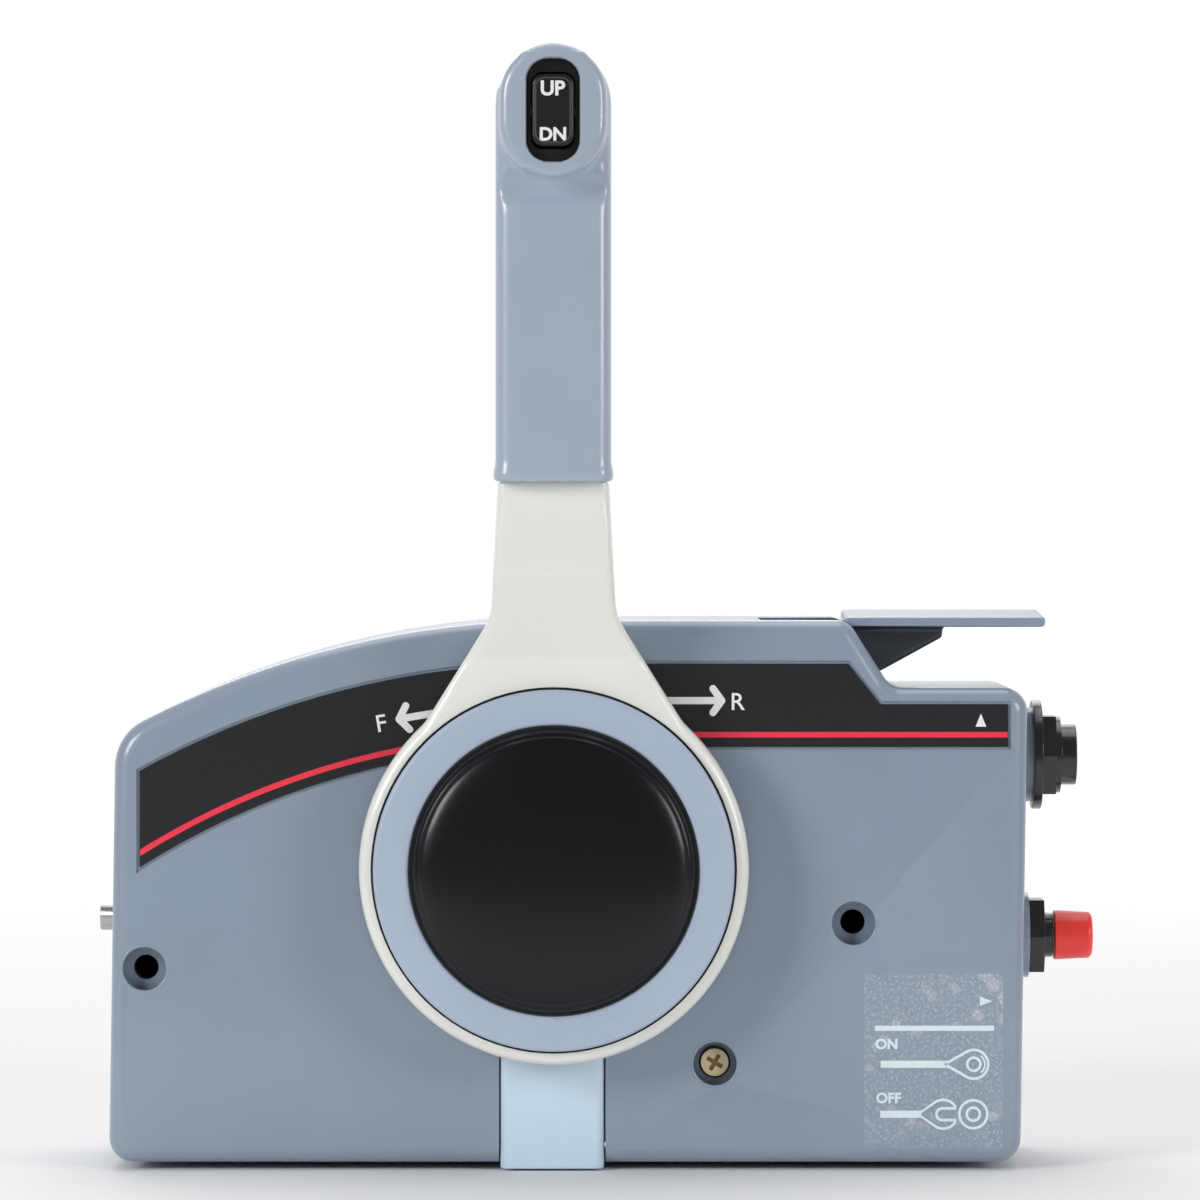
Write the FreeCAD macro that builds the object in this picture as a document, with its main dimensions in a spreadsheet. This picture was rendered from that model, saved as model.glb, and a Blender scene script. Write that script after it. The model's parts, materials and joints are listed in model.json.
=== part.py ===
import FreeCAD, Part
import math
import os
from collections import namedtuple
from types import SimpleNamespace

import Sketcher
from FreeCAD import Placement, Rotation, Vector

# Boat throttle control box with a side lever, in millimetres.
# The origin is on the lever's axis, on the mounting face.
# X is to the right, Z is up, and the front looks along -Y. A depth is counted from the
# mounting face towards the front.

HOUSING_SIZES = {
    "housing_depth": 56.0,
    "housing_wall": 3.0,
    "left_side_top": 97.8,
    "left_side_flare": 1.4,
    "right_side_top": 105.4,
    "right_side_draw": 1.6,
    "housing_foot": 66.0,
    "housing_top": 54.6,
    "shoulder_drop": 15.0,
    "slant_inset": 40.0,
    "slant_run": 9.5,
    "crown_radius": 200.0,
    "crown_corner": 12.0,
    "side_corner": 5.4,
    "slant_corner": 5.0,
    "front_rim": 3.4,
    "cover_thick": 3.0,
    "cover_gap": 0.3,
    "seat_gap": 0.05,
    "sliding_gap": 0.15,
}

FRONT_SIZES = {
    "band_top_inset": 9.6,
    "band_tall": 18.5,
    "band_left_inset": 5.6,
    "band_right_inset": 4.5,
    "band_slant_shift": 0.1,
    "band_slant_run": 7.2,
    "band_shoulder_inset": 3.6,
    "band_border": 0.7,
    "band_thick": 0.5,
    "band_recess": 0.6,
    "strip_left": 12.0,
    "strip_right": 11.1,
    "strip_top": 33.5,
    "strip_back": 9.0,
    "strip_proud": 0.8,
    "strip_drop": 1.3,
    "strip_wall": 2.4,
    "strip_flange": 2.0,
    "strip_flange_thick": 1.2,
    "strip_bevel": 1.2,
}

MOUNTING_SIZES = {
    "left_mount_inset": 6.7,
    "left_mount_drop": 22.8,
    "right_mount_inset": 38.9,
    "right_mount_drop": 12.7,
    "mount_hole_radius": 2.75,
    "counterbore_radius": 5.1,
    "counterbore_deep": 6.0,
    "mount_floor": 2.0,
    "sleeve_radius": 4.0,
    "post_radius": 6.2,
    "case_screw_x": 35.7,
    "case_screw_rise": 22.1,
    "case_head_radius": 3.1,
    "case_head_tall": 2.2,
    "case_shank_radius": 1.9,
    "case_screw_end": 12.0,
    "cover_post_radius": 4.6,
    "cover_head_radius": 3.2,
    "cover_head_tall": 1.6,
    "cover_shank_radius": 1.6,
    "cover_shank_long": 12.0,
    "cover_screw_inset": 10.0,
    "slot_wide": 0.9,
    "slot_deep": 0.9,
    "cover_floor": 1.0,
    "neutral_switch_clear": 3.0,
    "neutral_switch_thick": 12.0,
    "neutral_switch_behind": 2.0,
    "neutral_switch_half": 10.0,
    "neutral_switch_tall": 10.0,
    "neutral_screw_side": 6.0,
    "neutral_post_radius": 3.2,
    "neutral_roller_radius": 1.6,
}

SHAFT_SIZES = {
    "shaft_radius": 8.0,
    "journal_radius": 5.0,
    "rear_bush_radius": 7.0,
    "rear_bush_start": 2.0,
    "rear_boss_radius": 11.0,
    "rear_boss_front": 7.0,
    "front_bush_radius": 10.0,
    "front_bush_long": 14.0,
    "front_boss_radius": 15.0,
    "bush_gap": 0.05,
    "drive_square": 11.0,
    "gear_module": 2.0,
    "gear_teeth": 16,
    "sector_teeth": 32,
    "gear_depth": 8.0,
    "gear_thick": 6.0,
    "gear_backlash": 0.2,
    "cam_depth": 16.0,
    "cam_thick": 4.0,
    "cam_radius": 19.0,
    "cam_offset": 4.0,
    "disc_depth": 24.0,
    "disc_thick": 6.0,
    "disc_radius": 30.0,
    "disc_window": 3.6,
    "bolt_radius": 3.0,
    "bolt_long": 16.0,
    "bolt_head_radius": 5.0,
    "bolt_head_tall": 3.0,
    "bolt_washer_radius": 12.0,
    "bolt_washer_thick": 1.6,
    "sector_hub": 9.0,
    "sector_arm_half": 5.0,
}

LEVER_SIZES = {
    "hub_radius": 43.0,
    "hub_gap": 1.5,
    "hub_thick": 14.5,
    "hub_rim": 2.0,
    "hub_web": 4.5,
    "hub_wall": 6.0,
    "flare_half": 28.5,
    "neck_half": 13.7,
    "neck_rise": 12.8,
    "neck_fillet": 12.0,
    "arm_half": 12.1,
    "arm_long": 29.5,
    "arm_edge": 1.6,
    "ramp_gap": 3.0,
    "ramp_long": 20.0,
    "arm_clear": 12.5,
    "arm_thick_front": 15.5,
    "tang_half": 7.5,
    "tang_back_inset": 1.5,
    "tang_front_inset": 2.0,
    "tang_long": 62.7,
    "ring_wide": 7.9,
    "ring_inset": 3.3,
    "ring_thick": 2.6,
    "ring_edge": 0.9,
    "cap_gap": 0.5,
    "cap_tall": 7.6,
    "cap_wall": 1.6,
    "cap_rim_tall": 4.2,
    "cap_edge": 1.4,
}

GRIP_SIZES = {
    "grip_half": 12.6,
    "grip_back_proud": 6.0,
    "grip_front_proud": 5.5,
    "grip_head_rise": 19.6,
    "grip_front_edge": 3.4,
    "grip_back_edge": 8.0,
    "skirt_extra": 0.5,
    "skirt_tall": 2.7,
    "pod_half": 11.6,
    "pod_drop": 2.1,
    "pod_straight": 3.1,
    "pod_rise": 8.5,
    "pod_edge": 1.6,
    "groove_radius": 4.4,
    "groove_rise": 3.1,
    "groove_drop": 2.1,
    "opening_half": 5.75,
    "opening_tall": 11.15,
    "opening_corner": 4.6,
    "opening_deep": 12.0,
    "rocker_half": 4.6,
    "rocker_tall": 7.85,
    "rocker_sink": 0.8,
    "rocker_thick": 7.7,
    "rocker_gap": 0.45,
    "bezel_sink": 3.4,
    "rocker_pin_radius": 1.0,
    "trigger_half": 9.0,
    "trigger_below": 2.3,
    "trigger_tall": 11.0,
    "trigger_proud": 9.0,
    "trigger_travel": 5.0,
    "trigger_gap": 0.5,
    "rod_radius": 2.5,
    "rod_clear": 1.5,
    "lock_inset": 7.0,
    "lock_clear": 0.8,
    "lock_notch_half": 3.4,
    "lock_notch_deep": 6.0,
    "lock_gap": 0.4,
    "lock_screw_reach": 20.0,
    "shell_screw_radius": 1.5,
    "shell_screw_head": 2.8,
    "shell_head_deep": 2.6,
    "shell_head_tall": 1.8,
    "low_screw_rise": 13.8,
    "high_screw_drop": 8.8,
    "skirt_corner": 4.0,
    "rocker_corner": 2.6,
    "rocker_room": 1.5,
    "rocker_edge": 0.8,
    "trigger_edge": 1.5,
}

IDLE_SIZES = {
    "idle_pivot_side": 7.4,
    "idle_pivot_drop": 10.6,
    "idle_pin_radius": 2.5,
    "idle_knuckle": 5.0,
    "idle_back": 20.0,
    "idle_front_inset": 8.0,
    "idle_left_shift": 0.4,
    "idle_overhang": 4.3,
    "idle_bottom_drop": 1.6,
    "idle_thick": 3.5,
    "idle_web_inset": 8.0,
    "idle_web_thick": 9.0,
    "idle_web_short": 22.4,
    "idle_web_step": 2.5,
    "idle_web_foot_side": 8.0,
    "idle_web_foot_rise": 3.3,
    "idle_side_gap": 1.5,
    "idle_cam_long": 14.0,
    "idle_cam_half": 3.0,
    "well_long": 19.4,
    "well_floor_drop": 1.4,
    "well_wall": 2.0,
    "well_sill_side": 1.1,
    "well_sill_rise": 2.8,
    "idle_pin_over": 3.5,
    "arm_depth": 8.0,
    "arm_thick": 4.0,
    "throttle_post_side": 8.0,
    "throttle_post_drop": 42.0,
    "throttle_arm_back": 13.0,
    "throttle_arm_thick": 3.0,
    "throttle_peg_gap": 0.4,
    "throttle_peg_radius": 3.0,
    "throttle_foot_x": -12.0,
    "throttle_foot_z": -33.0,
    "shift_post_angle": 213.55,
    "shift_arm_angle": 195.0,
    "shift_arm_long": 25.0,
    "post_pin_radius": 4.0,
    "post_flange_radius": 7.0,
    "post_flange_thick": 1.5,
    "post_ring_thick": 1.2,
    "post_shoulder": 6.0,
    "joint_radius": 4.0,
    "joint_pin_radius": 2.0,
    "joint_head_radius": 3.2,
    "joint_head_thick": 1.2,
    "joint_block_long": 7.0,
    "joint_cable_radius": 1.2,
}

SWITCH_SIZES = {
    "key_level": 23.8,
    "key_depth": 30.0,
    "key_boss_rise": 2.3,
    "key_seat_radius": 10.6,
    "key_body_radius": 12.0,
    "key_body_long": 40.0,
    "key_neck_radius": 8.0,
    "key_washer_radius": 12.25,
    "key_washer_thick": 2.1,
    "key_nut_corner": 10.1,
    "key_nut_thick": 3.2,
    "key_collar_radius": 8.6,
    "key_collar_thick": 1.1,
    "key_barrel_radius": 6.8,
    "key_barrel_long": 10.0,
    "key_rotor_radius": 4.6,
    "key_rotor_deep": 3.0,
    "key_slot_half": 0.8,
    "key_slot_long": 3.4,
    "stop_level": -17.0,
    "stop_boss_rise": 1.5,
    "stop_seat_radius": 9.6,
    "stop_body_radius": 8.5,
    "stop_body_long": 28.0,
    "stop_neck_radius": 5.0,
    "stop_nut_corner": 9.4,
    "stop_nut_thick": 3.5,
    "stop_neck_long": 5.5,
    "stop_plunger_radius": 2.4,
    "stop_plunger_deep": 14.0,
    "stop_knob_radius": 5.6,
    "stop_knob_flare": 0.4,
    "stop_knob_reach": 14.5,
    "stop_knob_edge": 1.2,
    "stop_knob_gap": 0.3,
    "friction_level": -13.1,
    "friction_depth": 27.0,
    "friction_radius": 3.0,
    "friction_proud": 5.2,
    "friction_head_radius": 4.4,
    "friction_head_tall": 1.6,
    "friction_boss_radius": 6.0,
    "friction_boss_long": 14.0,
    "pad_half": 7.0,
    "pad_behind": 9.0,
    "pad_over": 5.0,
    "pad_gap": 1.3,
    "port_radius": 5.0,
    "port_depth": 11.0,
    "shift_port_rise": 30.5,
    "throttle_port_rise": 16.0,
    "harness_x": 58.0,
    "harness_depth": 16.0,
    "harness_hole": 5.5,
    "harness_neck": 7.5,
    "harness_flange": 9.5,
    "harness_flange_thick": 1.6,
}

doc = FreeCAD.newDocument("throttle_control")
sheet = doc.addObject("Spreadsheet::Sheet", "Sizes")
Disc = namedtuple("Disc", "x y radius")
PARTS = []

TURNS = {
    "front": Rotation(Vector(1, 0, 0), 90),
    "up": Rotation(),
    "down": Rotation(Vector(1, 0, 0), 180),
    "back": Rotation(Vector(1, 0, 0), -90),
    "right": Rotation(Vector(0, 1, 0), 90),
    "left": Rotation(Vector(0, 1, 0), -90),
}


class Size:
    """A size kept both as a number and as the formula that gives it from the sheet."""

    def __init__(self, number, formula):
        self.number = number
        self.formula = formula

    def __add__(self, other):
        other = sized(other)
        return Size(self.number + other.number, f"({self.formula} + {other.formula})")

    def __sub__(self, other):
        other = sized(other)
        return Size(self.number - other.number, f"({self.formula} - {other.formula})")

    def __mul__(self, other):
        other = sized(other)
        return Size(self.number * other.number, f"({self.formula} * {other.formula})")

    def __truediv__(self, other):
        other = sized(other)
        return Size(self.number / other.number, f"({self.formula} / {other.formula})")

    def __neg__(self):
        return Size(-self.number, f"(0 - {self.formula})")

    def __rsub__(self, other):
        return sized(other) - self

    __radd__ = __add__
    __rmul__ = __mul__


def sized(value):
    """Give a plain number the form of a size."""
    return value if isinstance(value, Size) else Size(float(value), f"({float(value)})")


def root(value):
    return Size(math.sqrt(value.number), f"sqrt({value.formula})")


def cosine(angle):
    return Size(math.cos(math.radians(angle.number)), f"cos({angle.formula})")


def sine(angle):
    return Size(math.sin(math.radians(angle.number)), f"sin({angle.formula})")


def fill_sheet(*groups):
    """Write every size to the sheet under its own name, and return them by name."""
    sizes = {name: value for group in groups for name, value in group.items()}
    for row, (name, value) in enumerate(sizes.items(), start=1):
        sheet.set(f"A{row}", name)
        sheet.set(f"B{row}", str(value))
        sheet.setAlias(f"B{row}", name)
    doc.recompute()
    return SimpleNamespace(**{name: Size(float(sheet.get(name)), f"Sizes.{name}") for name in sizes})


def bind(item, name, value):
    """Tie one property of an item to the sheet."""
    item.setExpression(name, sized(value).formula)


def put(item, at, facing="front"):
    """Place an item at (x, depth, z), with its own Z towards the side named."""
    x, depth, z = (sized(value) for value in at)
    item.Placement = Placement(Vector(x.number, -depth.number, z.number), TURNS[facing])
    bind(item, "Placement.Base.x", x)
    bind(item, "Placement.Base.y", -depth)
    bind(item, "Placement.Base.z", z)


def new_body(label, at=(0, 0, 0), facing="front", kept=True):
    """Start a sub-part, whose own X, Y and Z point right, up and out when it faces the front."""
    body = doc.addObject("PartDesign::Body", label)
    body.Label = label
    put(body, at, facing)
    if kept:
        PARTS.append(body)
    return body


def sketch_on(body, plane, level):
    """Start a sketch on one of the body's planes, moved along that plane's normal."""
    sketch = body.newObject("Sketcher::SketchObject", body.Name + "_sketch")
    support = next(item for item in body.Origin.OriginFeatures if item.Role == plane)
    sketch.AttachmentSupport = (support, [""])
    sketch.MapMode = "FlatFace"
    bind(sketch, "AttachmentOffset.Base.z", level)
    return sketch


def fix_point(sketch, edge, end, x, y):
    """Hold one point of a sketch at its place."""
    for kind, value in (("DistanceX", x), ("DistanceY", y)):
        number = sketch.addConstraint(Sketcher.Constraint(kind, -1, 1, edge, end, value.number))
        bind(sketch, f"Constraints[{number}]", value)


def arc_between(start, end, radius):
    """Arc from start to end, counter-clockwise about its centre."""
    chord = end - start
    reach = math.sqrt(radius ** 2 - chord.Length ** 2 / 4)
    centre = (start + end) / 2 + Vector(-chord.y, chord.x, 0) / chord.Length * reach
    angles = [math.atan2(point.y - centre.y, point.x - centre.x) for point in (start, end)]
    return Part.ArcOfCircle(Part.Circle(centre, Vector(0, 0, 1), radius), *angles)


def draw_outline(sketch, corners):
    """Join the corners in turn. A corner's third value bends the next edge: out, or in if negative."""
    corners = [tuple(sized(value) for value in corner) for corner in corners]
    points = [Vector(corner[0].number, corner[1].number, 0) for corner in corners]
    first = sketch.GeometryCount
    ends = []
    for number, corner in enumerate(corners):
        start, end = points[number], points[(number + 1) % len(points)]
        inward = len(corner) == 3 and corner[2].number < 0
        if len(corner) == 2:
            side = Part.LineSegment(start, end)
        elif inward:
            side = arc_between(end, start, -corner[2].number)
        else:
            side = arc_between(start, end, corner[2].number)
        sketch.addGeometry(side, False)
        ends.append((2, 1) if inward else (1, 2))
    for number, corner in enumerate(corners):
        after = (number + 1) % len(corners)
        sketch.addConstraint(
            Sketcher.Constraint("Coincident", first + number, ends[number][1], first + after, ends[after][0])
        )
        fix_point(sketch, first + number, ends[number][0], corner[0], corner[1])
        if len(corner) == 3:
            radius = -corner[2] if corner[2].number < 0 else corner[2]
            bound = sketch.addConstraint(Sketcher.Constraint("Radius", first + number, radius.number))
            bind(sketch, f"Constraints[{bound}]", radius)


def draw_disc(sketch, disc):
    x, y, radius = (sized(value) for value in disc)
    circle = Part.Circle(Vector(x.number, y.number, 0), Vector(0, 0, 1), radius.number)
    edge = sketch.addGeometry(circle, False)
    fix_point(sketch, edge, 3, x, y)
    bound = sketch.addConstraint(Sketcher.Constraint("Radius", edge, radius.number))
    bind(sketch, f"Constraints[{bound}]", radius)


def feature_from(body, kind, shapes, start, length, plane):
    sketch = sketch_on(body, plane, start)
    for shape in shapes:
        if isinstance(shape, Disc):
            draw_disc(sketch, shape)
        else:
            draw_outline(sketch, shape)
    feature = body.newObject("PartDesign::" + kind, f"{body.Name}_{kind.lower()}")
    feature.Profile = sketch
    feature.Reversed = kind == "Pocket"
    bind(feature, "Length", length)
    sketch.Visibility = False
    return feature


def raise_on(body, shapes, start, length, plane="XY_Plane"):
    """Add material from the start level along the plane's normal."""
    return feature_from(body, "Pad", shapes, start, length, plane)


def sink_in(body, shapes, start, length, plane="XY_Plane"):
    """Cut material from the start level along the plane's normal."""
    return feature_from(body, "Pocket", shapes, start, length, plane)


def turned(label, profile, at=(0, 0, 0), facing="front", kept=True):
    """Turn a profile of (radius, height) corners about the sub-part's own Z."""
    body = new_body(label, at, facing, kept)
    sketch = sketch_on(body, "XZ_Plane", 0)
    draw_outline(sketch, profile)
    feature = body.newObject("PartDesign::Revolution", f"{body.Name}_turn")
    feature.Profile = sketch
    feature.ReferenceAxis = (sketch, ["V_Axis"])
    feature.Angle = 360
    sketch.Visibility = False
    return body


def tube(label, inner, outer, length, at=(0, 0, 0), facing="front"):
    return turned(label, [(inner, 0), (outer, 0), (outer, length), (inner, length)], at, facing)


def ease_edges(body, radius, wanted, kind="Fillet"):
    """Round or bevel the edges of the body so far that the test picks."""
    doc.recompute()
    base = body.Tip
    names = [f"Edge{number}" for number, edge in enumerate(base.Shape.Edges, start=1) if wanted(edge)]
    feature = body.newObject("PartDesign::" + kind, f"{body.Name}_{kind.lower()}")
    feature.Base = (base, names)
    bind(feature, "Radius" if kind == "Fillet" else "Size", radius)
    return feature


def at_level(level):
    """Test for edges that lie flat at one level of the sub-part's own Z."""
    height = sized(level).number
    return lambda edge: all(abs(vertex.Z - height) < 1e-4 for vertex in edge.Vertexes) and (
        edge.BoundBox.ZLength < 1e-3
    )


def upright_near(*spots):
    """Test for straight edges along the sub-part's own Z that pass near one of the spots."""
    places = [(sized(x).number, sized(y).number) for x, y in spots]

    def picked(edge):
        box = edge.BoundBox
        thin = box.XLength < 1e-3 and box.YLength < 1e-3
        return thin and any(math.hypot(box.XMin - x, box.YMin - y) < 0.3 for x, y in places)

    return picked


def group(label, items):
    """Several like solids that share one name."""
    joined = doc.addObject("Part::Compound", label)
    joined.Label = label
    joined.Links = items
    PARTS.append(joined)
    return joined


def rectangle(left, right, low, high):
    return [(left, low), (right, low), (right, high), (left, high)]


def rounded(half, tall, corner, x=0, y=0):
    """Rectangle with rounded corners about (x, y)."""
    inner, upper = half - corner, tall - corner
    return [
        (x - inner, y - tall), (x + inner, y - tall, corner),
        (x + half, y - upper), (x + half, y + upper, corner),
        (x + inner, y + tall), (x - inner, y + tall, corner),
        (x - half, y + upper), (x - half, y - upper, corner),
    ]


def polygon(corner_radius, sides=6, turn=0.0):
    angles = [math.radians(turn + 360.0 * side / sides) for side in range(sides)]
    return [(corner_radius * math.cos(angle), corner_radius * math.sin(angle)) for angle in angles]


mm = fill_sheet(
    HOUSING_SIZES, FRONT_SIZES, MOUNTING_SIZES, SHAFT_SIZES, LEVER_SIZES, GRIP_SIZES, IDLE_SIZES, SWITCH_SIZES
)

# Places on the housing that follow from its sizes
mm.left_side_foot = mm.left_side_top + mm.left_side_flare
mm.right_side_foot = mm.right_side_top - mm.right_side_draw
mm.shoulder_level = mm.housing_top - mm.shoulder_drop
mm.slant_start = mm.right_side_top - mm.slant_inset
mm.band_top = mm.housing_top - mm.band_top_inset
mm.band_bottom = mm.band_top - mm.band_tall
mm.band_left = mm.left_side_top - mm.band_left_inset
mm.band_right = mm.right_side_top - mm.band_right_inset
mm.band_slant_start = mm.slant_start - mm.band_slant_shift
mm.band_shoulder = mm.shoulder_level - mm.band_shoulder_inset
mm.case_screw_z = mm.case_screw_rise - mm.housing_foot
mm.case_floor = mm.housing_depth - mm.counterbore_deep
mm.left_level = mm.housing_top - mm.crown_radius + root(
    mm.crown_radius * mm.crown_radius - mm.left_side_top * mm.left_side_top
)
MOUNTS = [
    (mm.left_mount_inset - mm.left_side_top, -mm.left_mount_drop),
    (mm.right_side_top - mm.right_mount_inset, -mm.right_mount_drop),
]
COVER_SCREWS = [
    (mm.cover_screw_inset - mm.left_side_top, mm.left_level - mm.cover_screw_inset * 3 / 2),
    (mm.cover_screw_inset - mm.left_side_foot, mm.cover_screw_inset - mm.housing_foot),
    (mm.right_side_foot - mm.cover_screw_inset, mm.cover_screw_inset - mm.housing_foot),
    (mm.right_side_top - mm.cover_screw_inset, (mm.key_level + mm.stop_level) / 2),
]

# Depths and heights of the lever and its grip
mm.hub_back = mm.housing_depth + mm.hub_gap
mm.hub_front = mm.hub_back + mm.hub_thick
mm.arm_back = mm.housing_depth + mm.arm_clear
mm.arm_front = mm.arm_back + mm.arm_thick_front
mm.tang_back = mm.arm_back + mm.tang_back_inset
mm.tang_front = mm.arm_front - mm.tang_front_inset
mm.hub_recess_radius = mm.hub_radius - mm.hub_wall
mm.ring_outer = mm.hub_radius - mm.ring_inset
mm.ring_inner = mm.ring_outer - mm.ring_wide
mm.cap_radius = mm.ring_inner - mm.cap_gap
mm.neck_level = mm.hub_radius + mm.neck_rise
mm.ramp_start = mm.hub_radius + mm.ramp_gap
mm.ramp_end = mm.ramp_start + mm.ramp_long
mm.arm_top = mm.neck_level + mm.arm_long
mm.tang_top = mm.arm_top + mm.tang_long
mm.grip_head_level = mm.tang_top + mm.grip_head_rise
mm.grip_back = mm.arm_back - mm.grip_back_proud
mm.grip_front_depth = mm.arm_front + mm.grip_front_proud
mm.grip_parting = (mm.tang_back + mm.tang_front) / 2
mm.pod_level = mm.grip_head_level - mm.pod_drop
mm.pod_front = mm.grip_front_depth + mm.pod_rise
mm.rocker_front = mm.pod_front - mm.rocker_sink
mm.rocker_back = mm.rocker_front - mm.rocker_thick
mm.bezel_front = mm.pod_front - mm.bezel_sink
mm.trigger_bottom = mm.arm_top - mm.trigger_tall - mm.trigger_below
mm.trigger_back = mm.arm_back - mm.trigger_proud
mm.rod_depth = mm.arm_back - mm.rod_clear - mm.rod_radius
mm.lock_radius = mm.hub_recess_radius - mm.lock_inset
mm.lock_front = mm.hub_front - mm.hub_web - mm.lock_clear
LOCK_SCREW_ANGLES = [30, 150, 270]
CROSS_REACH = 0.62

# Places of the fast-idle lever, the throttle arm and the switches
mm.idle_pivot_x = mm.slant_start - mm.idle_pivot_side
mm.idle_pivot_z = mm.housing_top - mm.idle_pivot_drop
mm.idle_front = mm.housing_depth - mm.idle_front_inset
mm.idle_left = mm.slant_start - mm.idle_left_shift
mm.idle_right = mm.right_side_top + mm.idle_overhang
mm.idle_bottom = mm.housing_top - mm.idle_bottom_drop
mm.idle_web_back = mm.idle_back + mm.idle_web_inset
mm.idle_web_right = mm.idle_right - mm.idle_web_short
mm.idle_web_foot_x = mm.slant_start + mm.idle_web_foot_side
mm.idle_web_foot_z = mm.shoulder_level + mm.idle_web_foot_rise
mm.well_left = mm.slant_start - mm.well_long
mm.well_floor = mm.shoulder_level - mm.well_floor_drop
mm.well_sill_x = mm.slant_start + mm.well_sill_side
mm.idle_pin_front = mm.idle_front + mm.idle_pin_over
mm.throttle_post_x = mm.idle_pivot_x - mm.throttle_post_side
mm.throttle_post_z = mm.idle_pivot_z - mm.throttle_post_drop
mm.key_seat = mm.right_side_top + mm.key_boss_rise
mm.key_barrel_end = mm.key_seat + mm.key_barrel_long
mm.stop_seat = mm.right_side_top + mm.stop_boss_rise
mm.stop_neck_end = mm.stop_seat + mm.stop_neck_long
mm.stop_knob_end = mm.stop_seat + mm.stop_knob_reach
mm.friction_tip = mm.left_side_top + mm.friction_proud
mm.pad_back = mm.disc_radius + mm.pad_behind
mm.pad_tip = mm.disc_radius - mm.pad_over
mm.neutral_switch_back = mm.disc_depth - mm.neutral_switch_behind
mm.neutral_switch_front = mm.neutral_switch_back + mm.neutral_switch_thick
mm.neutral_switch_low = mm.disc_radius + mm.neutral_switch_clear
mm.neutral_switch_high = mm.neutral_switch_low + mm.neutral_switch_tall
mm.neutral_switch_z = (mm.neutral_switch_low + mm.neutral_switch_high) / 2
mm.shift_port_level = mm.shift_port_rise - mm.housing_foot
mm.throttle_port_level = mm.throttle_port_rise - mm.housing_foot
SWITCH_SCREWS = [-mm.neutral_screw_side, mm.neutral_screw_side]


def half_turn_tangent(run, drop):
    """Tangent of half the angle by which a slant of this run and drop turns from the level."""
    return (root(run * run + drop * drop) - run) / drop


def housing_outline(inset=0):
    """Front outline of the housing, moved inwards all round."""
    drop = mm.housing_top - mm.shoulder_level
    shift = half_turn_tangent(mm.slant_run, drop) * inset
    left = mm.left_side_top - inset
    crown = mm.crown_radius - inset
    left_level = mm.housing_top - mm.crown_radius + root(crown * crown - left * left)
    return [
        (inset - mm.left_side_foot, inset - mm.housing_foot),
        (mm.right_side_foot - inset, inset - mm.housing_foot),
        (mm.right_side_top - inset, mm.shoulder_level - inset),
        (mm.slant_start + mm.slant_run - shift, mm.shoulder_level - inset),
        (mm.slant_start - shift, mm.housing_top - inset),
        (0, mm.housing_top - inset, crown),
        (-left, left_level),
    ]


def band_outline(margin=0):
    """Outline of the legend band, which follows the housing's crown."""
    centre = mm.housing_top - mm.crown_radius
    top, bottom = mm.band_top + margin, mm.band_bottom - margin
    left, right = mm.band_left + margin, mm.band_right + margin
    shift = half_turn_tangent(mm.band_slant_run, mm.band_top - mm.band_shoulder) * margin
    upper, lower = top - centre, bottom - centre
    return [
        (-left, centre + root(lower * lower - left * left), -lower),
        (0, bottom), (right, bottom), (right, mm.band_shoulder + margin),
        (mm.band_slant_start + mm.band_slant_run + shift, mm.band_shoulder + margin),
        (mm.band_slant_start + shift, top),
        (0, top, upper), (-left, centre + root(upper * upper - left * left)),
    ]


def cross(half, arm):
    """Outline of a cross recess, of this half width and reach."""
    corners = [(half, half), (half, arm), (-half, arm), (-half, half), (-arm, half), (-arm, -half)]
    return corners + [(-half, -half), (-half, -arm), (half, -arm), (half, -half), (arm, -half), (arm, half)]


def screw(label, at, facing, head_radius, head_tall, shank_radius, shank_long, kept=False):
    """Cross-head screw whose head stands on the place given."""
    body = turned(label, [
        (0, -shank_long), (shank_radius, -shank_long), (shank_radius, 0),
        (head_radius, 0), (head_radius, head_tall), (0, head_tall),
    ], at, facing, kept)
    sink_in(body, [cross(mm.slot_wide / 2, head_radius * CROSS_REACH)], head_tall - mm.slot_deep, head_tall)
    return body


def make_front_housing():
    body = new_body("front_housing")
    depth, wall = mm.housing_depth, mm.housing_wall
    outline = housing_outline()
    raise_on(body, [outline], 0, depth)
    ease_edges(body, mm.crown_corner, upright_near(outline[6]))
    ease_edges(body, mm.side_corner, upright_near(*outline[0:3]))
    ease_edges(body, mm.slant_corner, upright_near(*outline[3:5]))
    ease_edges(body, mm.front_rim, at_level(depth))
    side = mm.right_side_foot - wall
    for level, seat, radius in (
        (mm.key_level, mm.key_seat, mm.key_seat_radius),
        (mm.stop_level, mm.stop_seat, mm.stop_seat_radius),
    ):
        raise_on(body, [Disc(level, mm.key_depth, radius)], side, seat - side, "YZ_Plane")
    sink_in(body, [housing_outline(wall)], 0, depth - wall)
    add_housing_bosses(body)
    cut_mount_holes(body)
    cut_front_openings(body)
    cut_side_openings(body)
    cut_idle_well(body)
    body.Tip.Refine = True


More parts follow.
